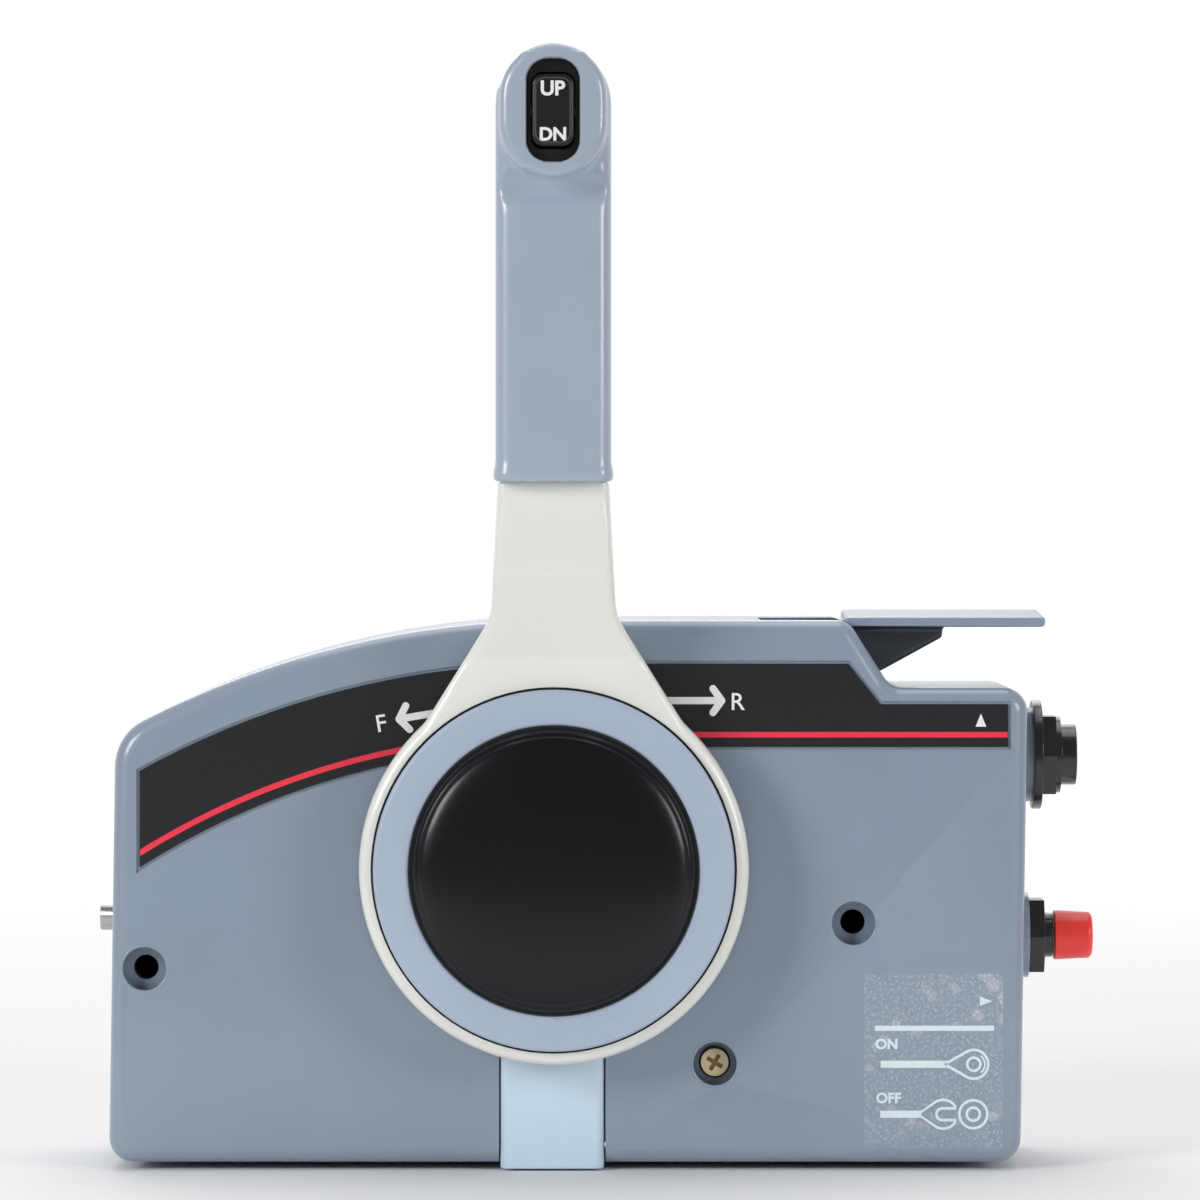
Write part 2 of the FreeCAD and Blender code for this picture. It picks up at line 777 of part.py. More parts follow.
def add_housing_bosses(body):
    """Posts behind the front wall, and the block that the fast-idle lever sits in."""
    depth, wall, cover = mm.housing_depth, mm.housing_wall, mm.cover_thick
    inner = depth - wall / 2
    posts = [Disc(x, z, mm.post_radius) for x, z in MOUNTS]
    posts += [Disc(x, z, mm.cover_post_radius) for x, z in COVER_SCREWS]
    raise_on(body, posts, cover, inner - cover)
    counterbore_floor = depth - mm.counterbore_deep - mm.mount_floor * 2
    raise_on(body, [Disc(mm.case_screw_x, mm.case_screw_z, mm.post_radius)], counterbore_floor,
             inner - counterbore_floor)
    raise_on(body, [Disc(0, 0, mm.front_boss_radius)], depth - mm.front_bush_long,
             mm.front_bush_long - wall / 2)
    raise_on(body, [Disc(x, mm.neutral_switch_z, mm.neutral_post_radius) for x in SWITCH_SCREWS],
             mm.neutral_switch_front, inner - mm.neutral_switch_front)
    block_left = mm.well_left - mm.well_wall
    block_floor = mm.well_floor - mm.well_wall
    corner_x = mm.slant_start + mm.slant_run
    block_back = mm.idle_back - mm.idle_side_gap - mm.well_wall
    raise_on(body, [[
        (block_left, block_floor), (corner_x, block_floor), (corner_x, mm.shoulder_level - wall / 2),
        (mm.slant_start, mm.housing_top - wall / 2), (block_left, mm.housing_top - wall / 2),
    ]], block_back, inner - block_back)
    boss = Disc(mm.friction_level, mm.friction_depth, mm.friction_boss_radius)
    raise_on(body, [boss], wall / 2 - mm.left_side_top, mm.friction_boss_long, "YZ_Plane")


def cut_mount_holes(body):
    """Counterbored holes for the mounting screws and the front case screw."""
    depth = mm.housing_depth
    places = MOUNTS + [(mm.case_screw_x, mm.case_screw_z)]
    floor = depth - mm.counterbore_deep
    sink_in(body, [Disc(x, z, mm.counterbore_radius) for x, z in places], floor, mm.counterbore_deep)
    sink_in(body, [Disc(x, z, mm.mount_hole_radius) for x, z in MOUNTS], floor - mm.mount_floor,
            mm.mount_floor)
    sink_in(body, [Disc(x, z, mm.sleeve_radius + mm.seat_gap) for x, z in MOUNTS], 0,
            floor - mm.mount_floor)
    case_hole = Disc(mm.case_screw_x, mm.case_screw_z, mm.case_shank_radius + mm.sliding_gap)
    sink_in(body, [case_hole], floor - mm.mount_floor * 2, mm.mount_floor * 2)
    pilots = [Disc(x, z, mm.cover_shank_radius + mm.seat_gap) for x, z in COVER_SCREWS]
    sink_in(body, pilots, 0, mm.cover_shank_long + mm.cover_thick)
    pilots = [Disc(x, mm.neutral_switch_z, mm.cover_shank_radius + mm.seat_gap) for x in SWITCH_SCREWS]
    sink_in(body, pilots, mm.neutral_switch_front, mm.cover_shank_long)


def cut_front_openings(body):
    """Shaft hole, neutral plate screws, the recess of the band and the slot of the strip."""
    depth, wall = mm.housing_depth, mm.housing_wall
    sink_in(body, [Disc(0, 0, mm.front_bush_radius + mm.seat_gap)], 0, depth)
    sink_in(body, lock_screw_holes(mm.cover_shank_radius + mm.seat_gap), depth - wall * 2, wall * 2)
    sink_in(body, [band_outline(mm.band_border)], depth - mm.band_recess, mm.band_recess)
    left, right = -mm.strip_left - mm.cover_gap, mm.strip_right + mm.cover_gap
    foot = -mm.housing_foot - mm.strip_drop
    slot_top = mm.cover_gap - mm.strip_top
    sink_in(body, [rectangle(left, right, foot, slot_top)], depth - wall * 2, wall * 2)
    sink_in(body, [rectangle(left, right, foot, wall - mm.housing_foot)], mm.strip_back, depth)


def cut_side_openings(body):
    """Holes for the side switches, the friction screw, the cables and the harness."""
    wall, side = mm.housing_wall, mm.right_side_foot - mm.housing_wall * 2
    key = Disc(mm.key_level, mm.key_depth, mm.key_neck_radius + mm.sliding_gap)
    stop = Disc(mm.stop_level, mm.key_depth, mm.stop_neck_radius + mm.sliding_gap)
    sink_in(body, [key, stop], side, mm.key_seat - side, "YZ_Plane")
    friction = Disc(mm.friction_level, mm.friction_depth, mm.friction_radius + mm.seat_gap)
    outside = -mm.left_side_foot
    sink_in(body, [friction], outside, mm.friction_boss_long + wall, "YZ_Plane")
    levels = (mm.shift_port_level, mm.throttle_port_level)
    ports = [Disc(level, mm.port_depth, mm.port_radius) for level in levels]
    sink_in(body, ports, outside, wall * 2, "YZ_Plane")
    harness = Disc(mm.harness_x, mm.harness_depth, mm.harness_neck + mm.seat_gap)
    sink_in(body, [harness], mm.housing_foot - wall * 2, wall * 2, "XZ_Plane")


def cut_idle_well(body):
    """Well of the fast-idle lever, open through the top and the slant, and its pin's hole."""
    back = mm.idle_back - mm.idle_side_gap
    right = mm.slant_start + mm.slant_run * 2
    top = mm.housing_top * 1.2
    sink_in(body, [[
        (mm.well_left, mm.well_floor), (mm.well_sill_x, mm.well_floor),
        (mm.well_sill_x + mm.well_sill_rise, mm.well_floor + mm.well_sill_rise),
        (right, mm.well_floor + mm.well_sill_rise), (right, top), (mm.well_left, top),
    ]], back, mm.idle_front - mm.idle_back + mm.idle_side_gap * 2)
    pin = Disc(mm.idle_pivot_x, mm.idle_pivot_z, mm.idle_pin_radius + mm.seat_gap)
    sink_in(body, [pin], back - mm.well_wall * 2, mm.idle_pin_front + mm.cover_gap - back + mm.well_wall * 2)


def lock_screw_holes(radius):
    """One disc for each screw of the neutral plate."""
    places = [polar(mm.lock_screw_reach.number, math.radians(angle)) for angle in LOCK_SCREW_ANGLES]
    return [Disc(place.x, place.y, radius) for place in places]


def make_back_cover():
    body = new_body("back_cover")
    thick = mm.cover_thick
    raise_on(body, [housing_outline(mm.housing_wall + mm.cover_gap)], 0, thick)
    raise_on(body, [Disc(0, 0, mm.rear_boss_radius)], thick, mm.rear_boss_front - thick)
    sink_in(body, [Disc(0, 0, mm.rear_bush_radius + mm.seat_gap)], mm.rear_bush_start, mm.rear_boss_front)
    post_top = mm.housing_depth - mm.counterbore_deep - mm.mount_floor * 2 - mm.cover_gap
    raise_on(body, [Disc(mm.case_screw_x, mm.case_screw_z, mm.cover_post_radius)], thick, post_top - thick)
    case_hole = Disc(mm.case_screw_x, mm.case_screw_z, mm.case_shank_radius + mm.seat_gap)
    sink_in(body, [case_hole], thick, post_top)
    sink_in(body, [Disc(x, z, mm.sleeve_radius + mm.sliding_gap) for x, z in MOUNTS], 0, thick)
    sink_in(body, [Disc(x, z, mm.cover_shank_radius + mm.sliding_gap) for x, z in COVER_SCREWS], 0, thick)
    sink_in(body, [Disc(x, z, mm.cover_head_radius + mm.cover_gap) for x, z in COVER_SCREWS], 0,
            mm.cover_head_tall + mm.cover_gap)
    posts = (shift_post_place(), (mm.throttle_post_x, mm.throttle_post_z))
    raise_on(body, [Disc(x, z, mm.post_flange_radius) for x, z in posts], thick, mm.post_flange_thick)
    sink_in(body, [Disc(x, z, mm.post_pin_radius + mm.seat_gap) for x, z in posts], mm.cover_floor, thick * 2)


def make_front_trim():
    """Legend plate, and the strip that clips into the slot below the hub."""
    plate = new_body("legend_plate")
    raise_on(plate, [band_outline()], mm.housing_depth - mm.band_recess, mm.band_thick)
    strip = new_body("lower_trim_cover")
    front = mm.housing_depth + mm.strip_proud
    foot = -mm.housing_foot - mm.strip_drop
    left, right = -mm.strip_left, mm.strip_right
    inside = mm.housing_depth - mm.housing_wall - mm.seat_gap
    back = inside - mm.strip_flange_thick
    raise_on(strip, [rectangle(left, right, foot, -mm.strip_top)], back, front - back)
    flange = mm.strip_flange
    flange_low = mm.housing_wall + flange - mm.housing_foot
    raise_on(strip, [rectangle(left - flange, right + flange, flange_low, -mm.strip_top - flange)], back,
             mm.strip_flange_thick)
    leg_back = mm.strip_back + mm.cover_gap
    raise_on(strip, [rectangle(left, right, foot, foot + mm.strip_wall)], leg_back, front - leg_back)
    at_front = at_level(front)

    def at_side(edge):
        return at_front(edge) and edge.BoundBox.XLength < 1e-3

    ease_edges(strip, mm.strip_bevel, at_side, "Chamfer")


def make_housing_fasteners():
    """Sleeves in the mounting holes, the brass case screw and the screws of the back cover."""
    sleeve_long = mm.housing_depth - mm.counterbore_deep - mm.mount_floor
    sleeves = [
        turned("mounting_sleeve", [
            (mm.mount_hole_radius, 0), (mm.sleeve_radius, 0),
            (mm.sleeve_radius, sleeve_long), (mm.mount_hole_radius, sleeve_long),
        ], (x, 0, z), kept=False)
        for x, z in MOUNTS
    ]
    group("mounting_sleeves", sleeves)
    screw("case_screw", (mm.case_screw_x, mm.case_floor, mm.case_screw_z), "front", mm.case_head_radius,
          mm.case_head_tall, mm.case_shank_radius, mm.case_floor - mm.case_screw_end, kept=True)
    head_seat = mm.cover_head_tall + mm.cover_gap
    group("cover_screws", [
        screw("cover_screw", (x, head_seat, z), "back", mm.cover_head_radius, mm.cover_head_tall,
              mm.cover_shank_radius, mm.cover_shank_long)
        for x, z in COVER_SCREWS
    ])
    grommet_in = mm.housing_foot - mm.housing_wall
    flange, neck = mm.harness_flange_thick, mm.housing_wall
    turned("harness_grommet", [
        (mm.harness_hole, -flange), (mm.harness_flange, -flange), (mm.harness_flange, 0),
        (mm.harness_neck, 0), (mm.harness_neck, neck), (mm.harness_flange, neck),
        (mm.harness_flange, neck + flange), (mm.harness_hole, neck + flange),
    ], (mm.harness_x, mm.harness_depth, -grommet_in), "down")


def shift_post_place():
    """Centre of the shift sector, at the gears' centre distance from the shaft."""
    distance = mm.gear_module * (mm.gear_teeth + mm.sector_teeth) / 2
    return distance * cosine(mm.shift_post_angle), distance * sine(mm.shift_post_angle)


PRESSURE_ANGLE = math.radians(20)
FLANK_STEPS = 4


def polar(radius, angle):
    return Vector(radius * math.cos(angle), radius * math.sin(angle), 0)


def involute(angle):
    return math.tan(angle) - angle


def tooth_flank(teeth, module, backlash):
    """Radius and half angle at points up one flank of an involute tooth, from the root."""
    pitch = module * teeth / 2
    base = pitch * math.cos(PRESSURE_ANGLE)
    tip = pitch + module
    half = math.pi / (2 * teeth) - backlash / (2 * pitch) + involute(PRESSURE_ANGLE)
    radii = [base + (tip - base) * step / FLANK_STEPS for step in range(FLANK_STEPS + 1)]
    flank = [(radius, half - involute(math.acos(base / radius))) for radius in radii]
    return [(pitch - 1.25 * module, half)] + flank


def toothed_edges(teeth, module, backlash, centres):
    """Edges of the teeth that stand at these angles, with the root arcs between them."""
    flank = tooth_flank(teeth, module, backlash)
    edges = []
    last = None
    for centre in centres:
        rise = [polar(radius, centre - half) for radius, half in flank]
        fall = [polar(radius, centre + half) for radius, half in reversed(flank)]
        if last is not None:
            edges.append(Part.LineSegment(last, rise[0]).toShape())
        for points in (rise, fall[::-1]):
            curve = Part.BSplineCurve()
            curve.interpolate(points[1:])
            edges.append(Part.LineSegment(points[0], points[1]).toShape())
            edges.append(curve.toShape())
        top = polar(flank[-1][0], centre)
        edges.append(Part.Arc(rise[-1], top, fall[0]).toShape())
        last = fall[-1]
    return edges, polar(flank[0][0], centres[0] - flank[0][1]), last


def plain_feature(label, shape, at):
    """Sub-part whose outline no sketch tool draws, such as a gear."""
    feature = doc.addObject("Part::Feature", label)
    feature.Label = label
    feature.Shape = shape
    put(feature, at)
    PARTS.append(feature)
    return feature


def make_gears():
    """Drive gear on the main shaft, and the toothed shift sector that meshes with it."""
    thick, module = mm.gear_thick.number, mm.gear_module.number
    mesh = math.radians(mm.shift_post_angle.number)
    count = int(mm.gear_teeth.number)
    pitch_angle = 2 * math.pi / count
    edges, first, last = toothed_edges(
        count, module, mm.gear_backlash.number, [mesh + pitch_angle * tooth for tooth in range(count)]
    )
    edges.append(Part.LineSegment(last, first).toShape())
    solid = Part.Face(Part.Wire(Part.__sortEdges__(edges))).extrude(Vector(0, 0, thick))
    bore = Part.makeCylinder(mm.shaft_radius.number + mm.seat_gap.number, thick)
    plain_feature("drive_gear", solid.cut(bore), (0, mm.gear_depth, 0))
    count = int(mm.sector_teeth.number)
    pitch_angle = 2 * math.pi / count
    centres = [mesh + math.pi + pitch_angle * (tooth + 0.5) for tooth in range(-4, 5)]
    edges, first, last = toothed_edges(count, module, mm.gear_backlash.number, centres)
    centre = Vector(0, 0, 0)
    edges += [Part.LineSegment(last, centre).toShape(), Part.LineSegment(centre, first).toShape()]
    solid = Part.Face(Part.Wire(Part.__sortEdges__(edges))).extrude(Vector(0, 0, thick))
    hub = Part.makeCylinder(mm.sector_hub.number, thick)
    end = polar(mm.shift_arm_long.number, math.radians(mm.shift_arm_angle.number))
    side = polar(mm.sector_arm_half.number, math.radians(mm.shift_arm_angle.number + 90))
    bar = Part.makePolygon([side, end + side, end - side, -side, side])
    arm = Part.Face(bar).extrude(Vector(0, 0, thick))
    eye = Part.makeCylinder(mm.sector_arm_half.number, thick, end)
    holes = [Part.makeCylinder(mm.post_pin_radius.number + mm.seat_gap.number, thick)]
    holes.append(Part.makeCylinder(mm.joint_pin_radius.number + mm.seat_gap.number, thick, end))
    solid = solid.fuse([hub, arm, eye]).cut(holes).removeSplitter()
    x, z = shift_post_place()
    plain_feature("shift_sector", solid, (x, mm.gear_depth, z))


def make_shaft():
    """Main shaft with its bushes, throttle cam and friction disc."""
    bush_gap = mm.bush_gap
    front = mm.hub_front - mm.hub_web
    turned("rear_bush", [
        (mm.journal_radius + bush_gap, 0), (mm.rear_bush_radius, 0),
        (mm.rear_bush_radius, mm.rear_boss_front - mm.rear_bush_start),
        (mm.journal_radius + bush_gap, mm.rear_boss_front - mm.rear_bush_start),
    ], (0, mm.rear_bush_start, 0))
    tube("front_bush", mm.shaft_radius + bush_gap, mm.front_bush_radius, mm.front_bush_long,
         (0, mm.housing_depth - mm.front_bush_long, 0))
    start = mm.rear_bush_start + mm.cover_gap
    shaft = turned("main_shaft", [
        (0, start), (mm.journal_radius, start), (mm.journal_radius, mm.gear_depth),
        (mm.shaft_radius, mm.gear_depth), (mm.shaft_radius, front - mm.cover_gap), (0, front - mm.cover_gap),
    ])
    square = mm.drive_square / 2
    raise_on(shaft, [rectangle(-square, square, -square, square)], front - mm.hub_web,
             mm.hub_web * 2 - mm.cover_gap)
    sink_in(shaft, [Disc(0, 0, mm.bolt_radius + mm.seat_gap)], mm.hub_front - mm.bolt_long - mm.hub_web,
            mm.bolt_long + mm.hub_web)
    cam = new_body("throttle_cam")
    raise_on(cam, [Disc(mm.cam_offset, 0, mm.cam_radius)], mm.cam_depth, mm.cam_thick)
    sink_in(cam, [Disc(0, 0, mm.shaft_radius + mm.seat_gap)], mm.cam_depth, mm.cam_thick)
    disc = new_body("friction_disc")
    raise_on(disc, [Disc(0, 0, mm.disc_radius)], mm.disc_depth, mm.disc_thick)
    sink_in(disc, [Disc(0, 0, mm.shaft_radius + mm.seat_gap)], mm.disc_depth, mm.disc_thick)
    turns = [2 * math.pi * number / 6 for number in range(6)]
    middle = (mm.disc_radius + mm.shaft_radius) / 2
    windows = [Disc(middle * math.cos(turn), middle * math.sin(turn), mm.disc_window) for turn in turns]
    sink_in(disc, windows, mm.disc_depth, mm.disc_thick)
    washer_seat = mm.hub_front
    tube("shaft_washer", mm.bolt_radius + mm.seat_gap, mm.bolt_washer_radius, mm.bolt_washer_thick,
         (0, washer_seat, 0))
    head = washer_seat + mm.bolt_washer_thick
    bolt = turned("shaft_bolt", [
        (0, -mm.bolt_long), (mm.bolt_radius, -mm.bolt_long), (mm.bolt_radius, 0),
        (mm.bolt_head_radius, 0), (mm.bolt_head_radius, mm.bolt_head_tall), (0, mm.bolt_head_tall),
    ], (0, head, 0))
    sink_in(bolt, [polygon(mm.bolt_head_radius / 2)], mm.bolt_head_tall / 3, mm.bolt_head_tall)


def make_lever():
    """Cast lever with its round hub, and the ring and cap on the hub's face."""
    body = new_body("control_lever")
    back = mm.hub_back
    flare_level = root(mm.hub_radius * mm.hub_radius - mm.flare_half * mm.flare_half)
    hub = Disc(0, 0, mm.hub_radius)
    raise_on(body, [hub], back, mm.hub_front - back)
    ease_edges(body, mm.hub_rim, at_level(mm.hub_front))
    arm = [
        (-mm.flare_half, flare_level), (mm.flare_half, flare_level), (mm.neck_half, mm.neck_level),
        (mm.arm_half, mm.arm_top), (-mm.arm_half, mm.arm_top), (-mm.neck_half, mm.neck_level),
    ]
    raise_on(body, [arm], back, mm.arm_front - back)
    ease_edges(body, mm.neck_fillet, upright_near(arm[2], arm[5]))
    at_front = at_level(mm.arm_front)
    ease_edges(body, mm.arm_edge, lambda edge: at_front(edge) and edge.BoundBox.YLength > 1)
    side = mm.hub_radius * 2
    over = mm.grip_front_depth
    low = mm.flare_half
    sink_in(body, [[
        (low, mm.hub_front), (mm.ramp_start, mm.hub_front), (mm.ramp_end, mm.arm_front),
        (mm.ramp_end, over), (low, over),
    ]], -side, side * 2, "YZ_Plane")
    under = mm.housing_depth - mm.hub_gap
    high = mm.arm_top + mm.hub_gap
    sink_in(body, [[
        (mm.ramp_start, back), (mm.ramp_start, under), (high, under), (high, mm.arm_back),
        (mm.ramp_end, mm.arm_back),
    ]], -side, side * 2, "YZ_Plane")
    raise_on(body, [rectangle(-mm.tang_half, mm.tang_half, mm.arm_top - mm.arm_half, mm.tang_top)],
             mm.tang_back, mm.tang_front - mm.tang_back)
    web_back = mm.hub_front - mm.hub_web
    sink_in(body, [Disc(0, 0, mm.hub_recess_radius)], back, web_back - back)
    square = mm.drive_square / 2 + mm.seat_gap
    sink_in(body, [rectangle(-square, square, -square, square)], web_back, mm.hub_web)
    rod_hole = Disc(0, mm.rod_depth, mm.rod_radius + mm.sliding_gap)
    sink_in(body, [rod_hole], -mm.ramp_end, mm.ramp_end - mm.lock_radius, "XZ_Plane")
    screws = [Disc(0, level, mm.shell_screw_radius + mm.seat_gap) for level in shell_screw_levels()]
    sink_in(body, screws, mm.tang_back, mm.tang_front - mm.tang_back)
    ring_top, edge = mm.ring_thick, mm.ring_edge
    turned("hub_ring", [
        (mm.ring_inner, 0), (mm.ring_outer, 0), (mm.ring_outer, ring_top - edge, edge),
        (mm.ring_outer - edge, ring_top), (mm.ring_inner + edge, ring_top, edge),
        (mm.ring_inner, ring_top - edge),
    ], (0, mm.hub_front, 0))
    make_cap()


def dome_radius(half, rise):
    """Radius of the round top that rises this much over this half width."""
    return (half * half + rise * rise) / (rise * 2)


def make_cap():
    """Hollow domed cap over the shaft bolt."""
    outer, wall, edge = mm.cap_radius, mm.cap_wall, mm.cap_edge
    inner = outer - wall
    rise = mm.cap_tall - mm.cap_rim_tall
    turned("hub_cap", [
        (inner, 0), (outer, 0), (outer, mm.cap_rim_tall - edge, edge),
        (outer - edge, mm.cap_rim_tall, dome_radius(outer - edge, rise)), (0, mm.cap_tall),
        (0, mm.cap_tall - wall, -dome_radius(inner, rise)), (inner, mm.cap_rim_tall - wall),
    ], (0, mm.hub_front, 0))


def shell_screw_levels():
    """Heights of the two screws that hold the grip's shells to the tang."""
    return [mm.arm_top + mm.low_screw_rise, mm.tang_top - mm.high_screw_drop]


def make_grip():
    """Two moulded shells round the tang, with the switch head at the top."""
    form = new_body("grip_form", kept=False)
    half, head, foot = mm.grip_half, mm.grip_head_level, mm.arm_top
    back, front = mm.grip_back, mm.grip_front_depth
    raise_on(form, [[
        (-half, foot), (half, foot), (half, head, half), (0, head + half, half), (-half, head),
    ]], back, front - back)
    ease_edges(form, mm.grip_front_edge, lambda edge: at_level(front)(edge) and edge.BoundBox.YLength > 1)
    ease_edges(form, mm.grip_back_edge, lambda edge: at_level(back)(edge) and edge.BoundBox.YLength > 1)
    skirt_half = half + mm.skirt_extra
    skirt_deep = (front - back) / 2 + mm.skirt_extra
    raise_on(form, [rounded(skirt_half, skirt_deep, mm.skirt_corner, 0, (front + back) / 2)],
             -foot - mm.skirt_tall, mm.skirt_tall, "XZ_Plane")
    pod, level, straight = mm.pod_half, mm.pod_level, mm.pod_straight
    raise_on(form, [[
        (pod, level - straight), (pod, level + straight, pod), (0, level + straight + pod, pod),
        (-pod, level + straight), (-pod, level - straight, pod), (0, level - straight - pod, pod),
    ]], mm.grip_parting + mm.cover_gap, mm.pod_front - mm.grip_parting - mm.cover_gap)
    ease_edges(form, mm.pod_edge, at_level(mm.pod_front))
    thumb_groove = Disc(level - straight - pod - mm.groove_drop, front + mm.groove_rise, mm.groove_radius)
    sink_in(form, [thumb_groove], -half * 2, half * 4, "YZ_Plane")
    opening = rounded(mm.opening_half, mm.opening_tall, mm.opening_corner, 0, level)
    sink_in(form, [opening], mm.pod_front - mm.opening_deep, mm.opening_deep)
    gap = mm.sliding_gap
    sink_in(form, [rectangle(-mm.tang_half - gap, mm.tang_half + gap, foot, mm.tang_top + gap)],
            mm.tang_back - gap, mm.tang_front - mm.tang_back + gap * 2)
    trigger_half = mm.trigger_half + mm.trigger_gap
    trigger_top = mm.trigger_bottom + mm.trigger_tall + mm.trigger_travel + mm.trigger_gap * 2
    sink_in(form, [rectangle(-trigger_half, trigger_half, foot, trigger_top)], back - mm.hub_gap,
            mm.arm_back + mm.cover_gap - back + mm.hub_gap)
    levels = shell_screw_levels()
    head_seat = back + mm.shell_head_deep
    sink_in(form, [Disc(0, z, mm.shell_screw_radius + mm.seat_gap) for z in levels], back,
            mm.tang_front + mm.shell_head_deep - back)
    heads = [Disc(0, z, mm.shell_screw_head + mm.sliding_gap) for z in levels]
    sink_in(form, heads, back, mm.shell_head_deep)
    split_shell("grip_front", form, mm.grip_parting, mm.pod_front)
    split_shell("grip_rear", form, back - mm.hub_gap, mm.grip_parting)
    shank = mm.tang_front + mm.shell_head_deep - head_seat - mm.cover_gap
    group("grip_screws", [
        screw("grip_screw", (0, head_seat, z), "back", mm.shell_screw_head, mm.shell_head_tall,
              mm.shell_screw_radius, shank)
        for z in levels
    ])


def split_shell(label, form, back, front):
    """Keep the part of the grip between two depths."""
    side = mm.grip_half * 2
    slab = doc.addObject("Part::Box", label + "_slab")
    bind(slab, "Length", side * 2)
    bind(slab, "Width", front - back)
    bind(slab, "Height", mm.pod_level + side)
    bind(slab, "Placement.Base.x", -side)
    bind(slab, "Placement.Base.y", -front)
    shell = doc.addObject("Part::Common", label)
    shell.Label = label
    shell.Base = form
    shell.Tool = slab
    PARTS.append(shell)


def make_trim_switch():
    """Switch block in the grip's head, with the rocker and its pin."""
    gap, level = mm.sliding_gap, mm.pod_level
    body = new_body("trim_switch_body")
    floor = mm.pod_front - mm.opening_deep
    outer = rounded(mm.opening_half - gap, mm.opening_tall - gap, mm.opening_corner - gap, 0, level)
    raise_on(body, [outer], floor, mm.bezel_front - floor)
    room = mm.rocker_gap
    well = rounded(mm.rocker_half + room / 3, mm.rocker_tall + room, mm.rocker_corner, 0, level)
    sink_in(body, [well], mm.rocker_back - mm.rocker_room, mm.rocker_room + mm.bezel_front - mm.rocker_back)
    pin_depth = mm.rocker_back + mm.rocker_pin_radius * 2
    pin_half = mm.opening_half - gap * 2
    pin = Disc(level, pin_depth, mm.rocker_pin_radius + mm.seat_gap)
    sink_in(body, [pin], -mm.opening_half, mm.opening_half * 2, "YZ_Plane")
    rocker = new_body("trim_rocker")
    raise_on(rocker, [rounded(mm.rocker_half, mm.rocker_tall, mm.rocker_corner, 0, level)], mm.rocker_back,
             mm.rocker_front - mm.rocker_back)
    ease_edges(rocker, mm.rocker_edge, at_level(mm.rocker_front))
    sink_in(rocker, [pin], -mm.opening_half, mm.opening_half * 2, "YZ_Plane")
    turned("rocker_pin", [
        (0, -pin_half), (mm.rocker_pin_radius, -pin_half), (mm.rocker_pin_radius, pin_half), (0, pin_half),
    ], (0, pin_depth, level), "right")


def make_neutral_lock():
    """Notched plate on the housing, and the trigger and rod that lift out of it."""
    seat = mm.housing_depth
    plate = new_body("neutral_plate")
    raise_on(plate, [Disc(0, 0, mm.lock_radius)], seat, mm.lock_front - seat)
    sink_in(plate, [Disc(0, 0, mm.shaft_radius + mm.cover_gap)], seat, mm.lock_front - seat)
    half, deep = mm.lock_notch_half, mm.lock_notch_deep
    notch = rectangle(-half, half, mm.lock_radius - deep, mm.lock_radius + deep)
    sink_in(plate, [notch], seat, mm.lock_front - seat)
    head_seat = (seat + mm.lock_front) / 2
    sink_in(plate, lock_screw_holes(mm.cover_shank_radius + mm.seat_gap), seat, mm.lock_front - seat)
    sink_in(plate, lock_screw_holes(mm.cover_head_radius + mm.sliding_gap), head_seat, mm.lock_front - seat)
    group("neutral_plate_screws", [
        screw("neutral_plate_screw", (place.x, head_seat, place.y), "front", mm.cover_head_radius,
              mm.cover_head_tall, mm.cover_shank_radius, head_seat - seat + mm.housing_wall)
        for place in lock_screw_holes(1)
    ])
    trigger = new_body("neutral_lock_trigger")
    low, tall = mm.trigger_bottom, mm.trigger_tall
    back, front = mm.trigger_back, mm.arm_back - mm.trigger_gap
    raise_on(trigger, [rectangle(-mm.trigger_half, mm.trigger_half, low, low + tall)], back, front - back)
    ease_edges(trigger, mm.trigger_edge, at_level(back))
    rod = Disc(0, mm.rod_depth, mm.rod_radius + mm.seat_gap)
    rod_top = low + tall / 2
    sink_in(trigger, [rod], -rod_top, tall, "XZ_Plane")
    rod_low = mm.lock_radius + mm.lock_gap
    turned("lock_rod", [
        (0, 0), (mm.rod_radius, 0), (mm.rod_radius, rod_top - rod_low), (0, rod_top - rod_low),
    ], (0, mm.rod_depth, rod_low), "up")


def bar_outline(start, end, half):
    """Outline of a straight bar between two points."""
    along_x, along_y = sized(end[0]) - start[0], sized(end[1]) - start[1]
    length = root(along_x * along_x + along_y * along_y)
    side_x, side_y = along_y / length * half, along_x / length * half
    return [
        (start[0] - side_x, start[1] + side_y), (start[0] + side_x, start[1] - side_y),
        (end[0] + side_x, end[1] - side_y), (end[0] - side_x, end[1] + side_y),
    ]


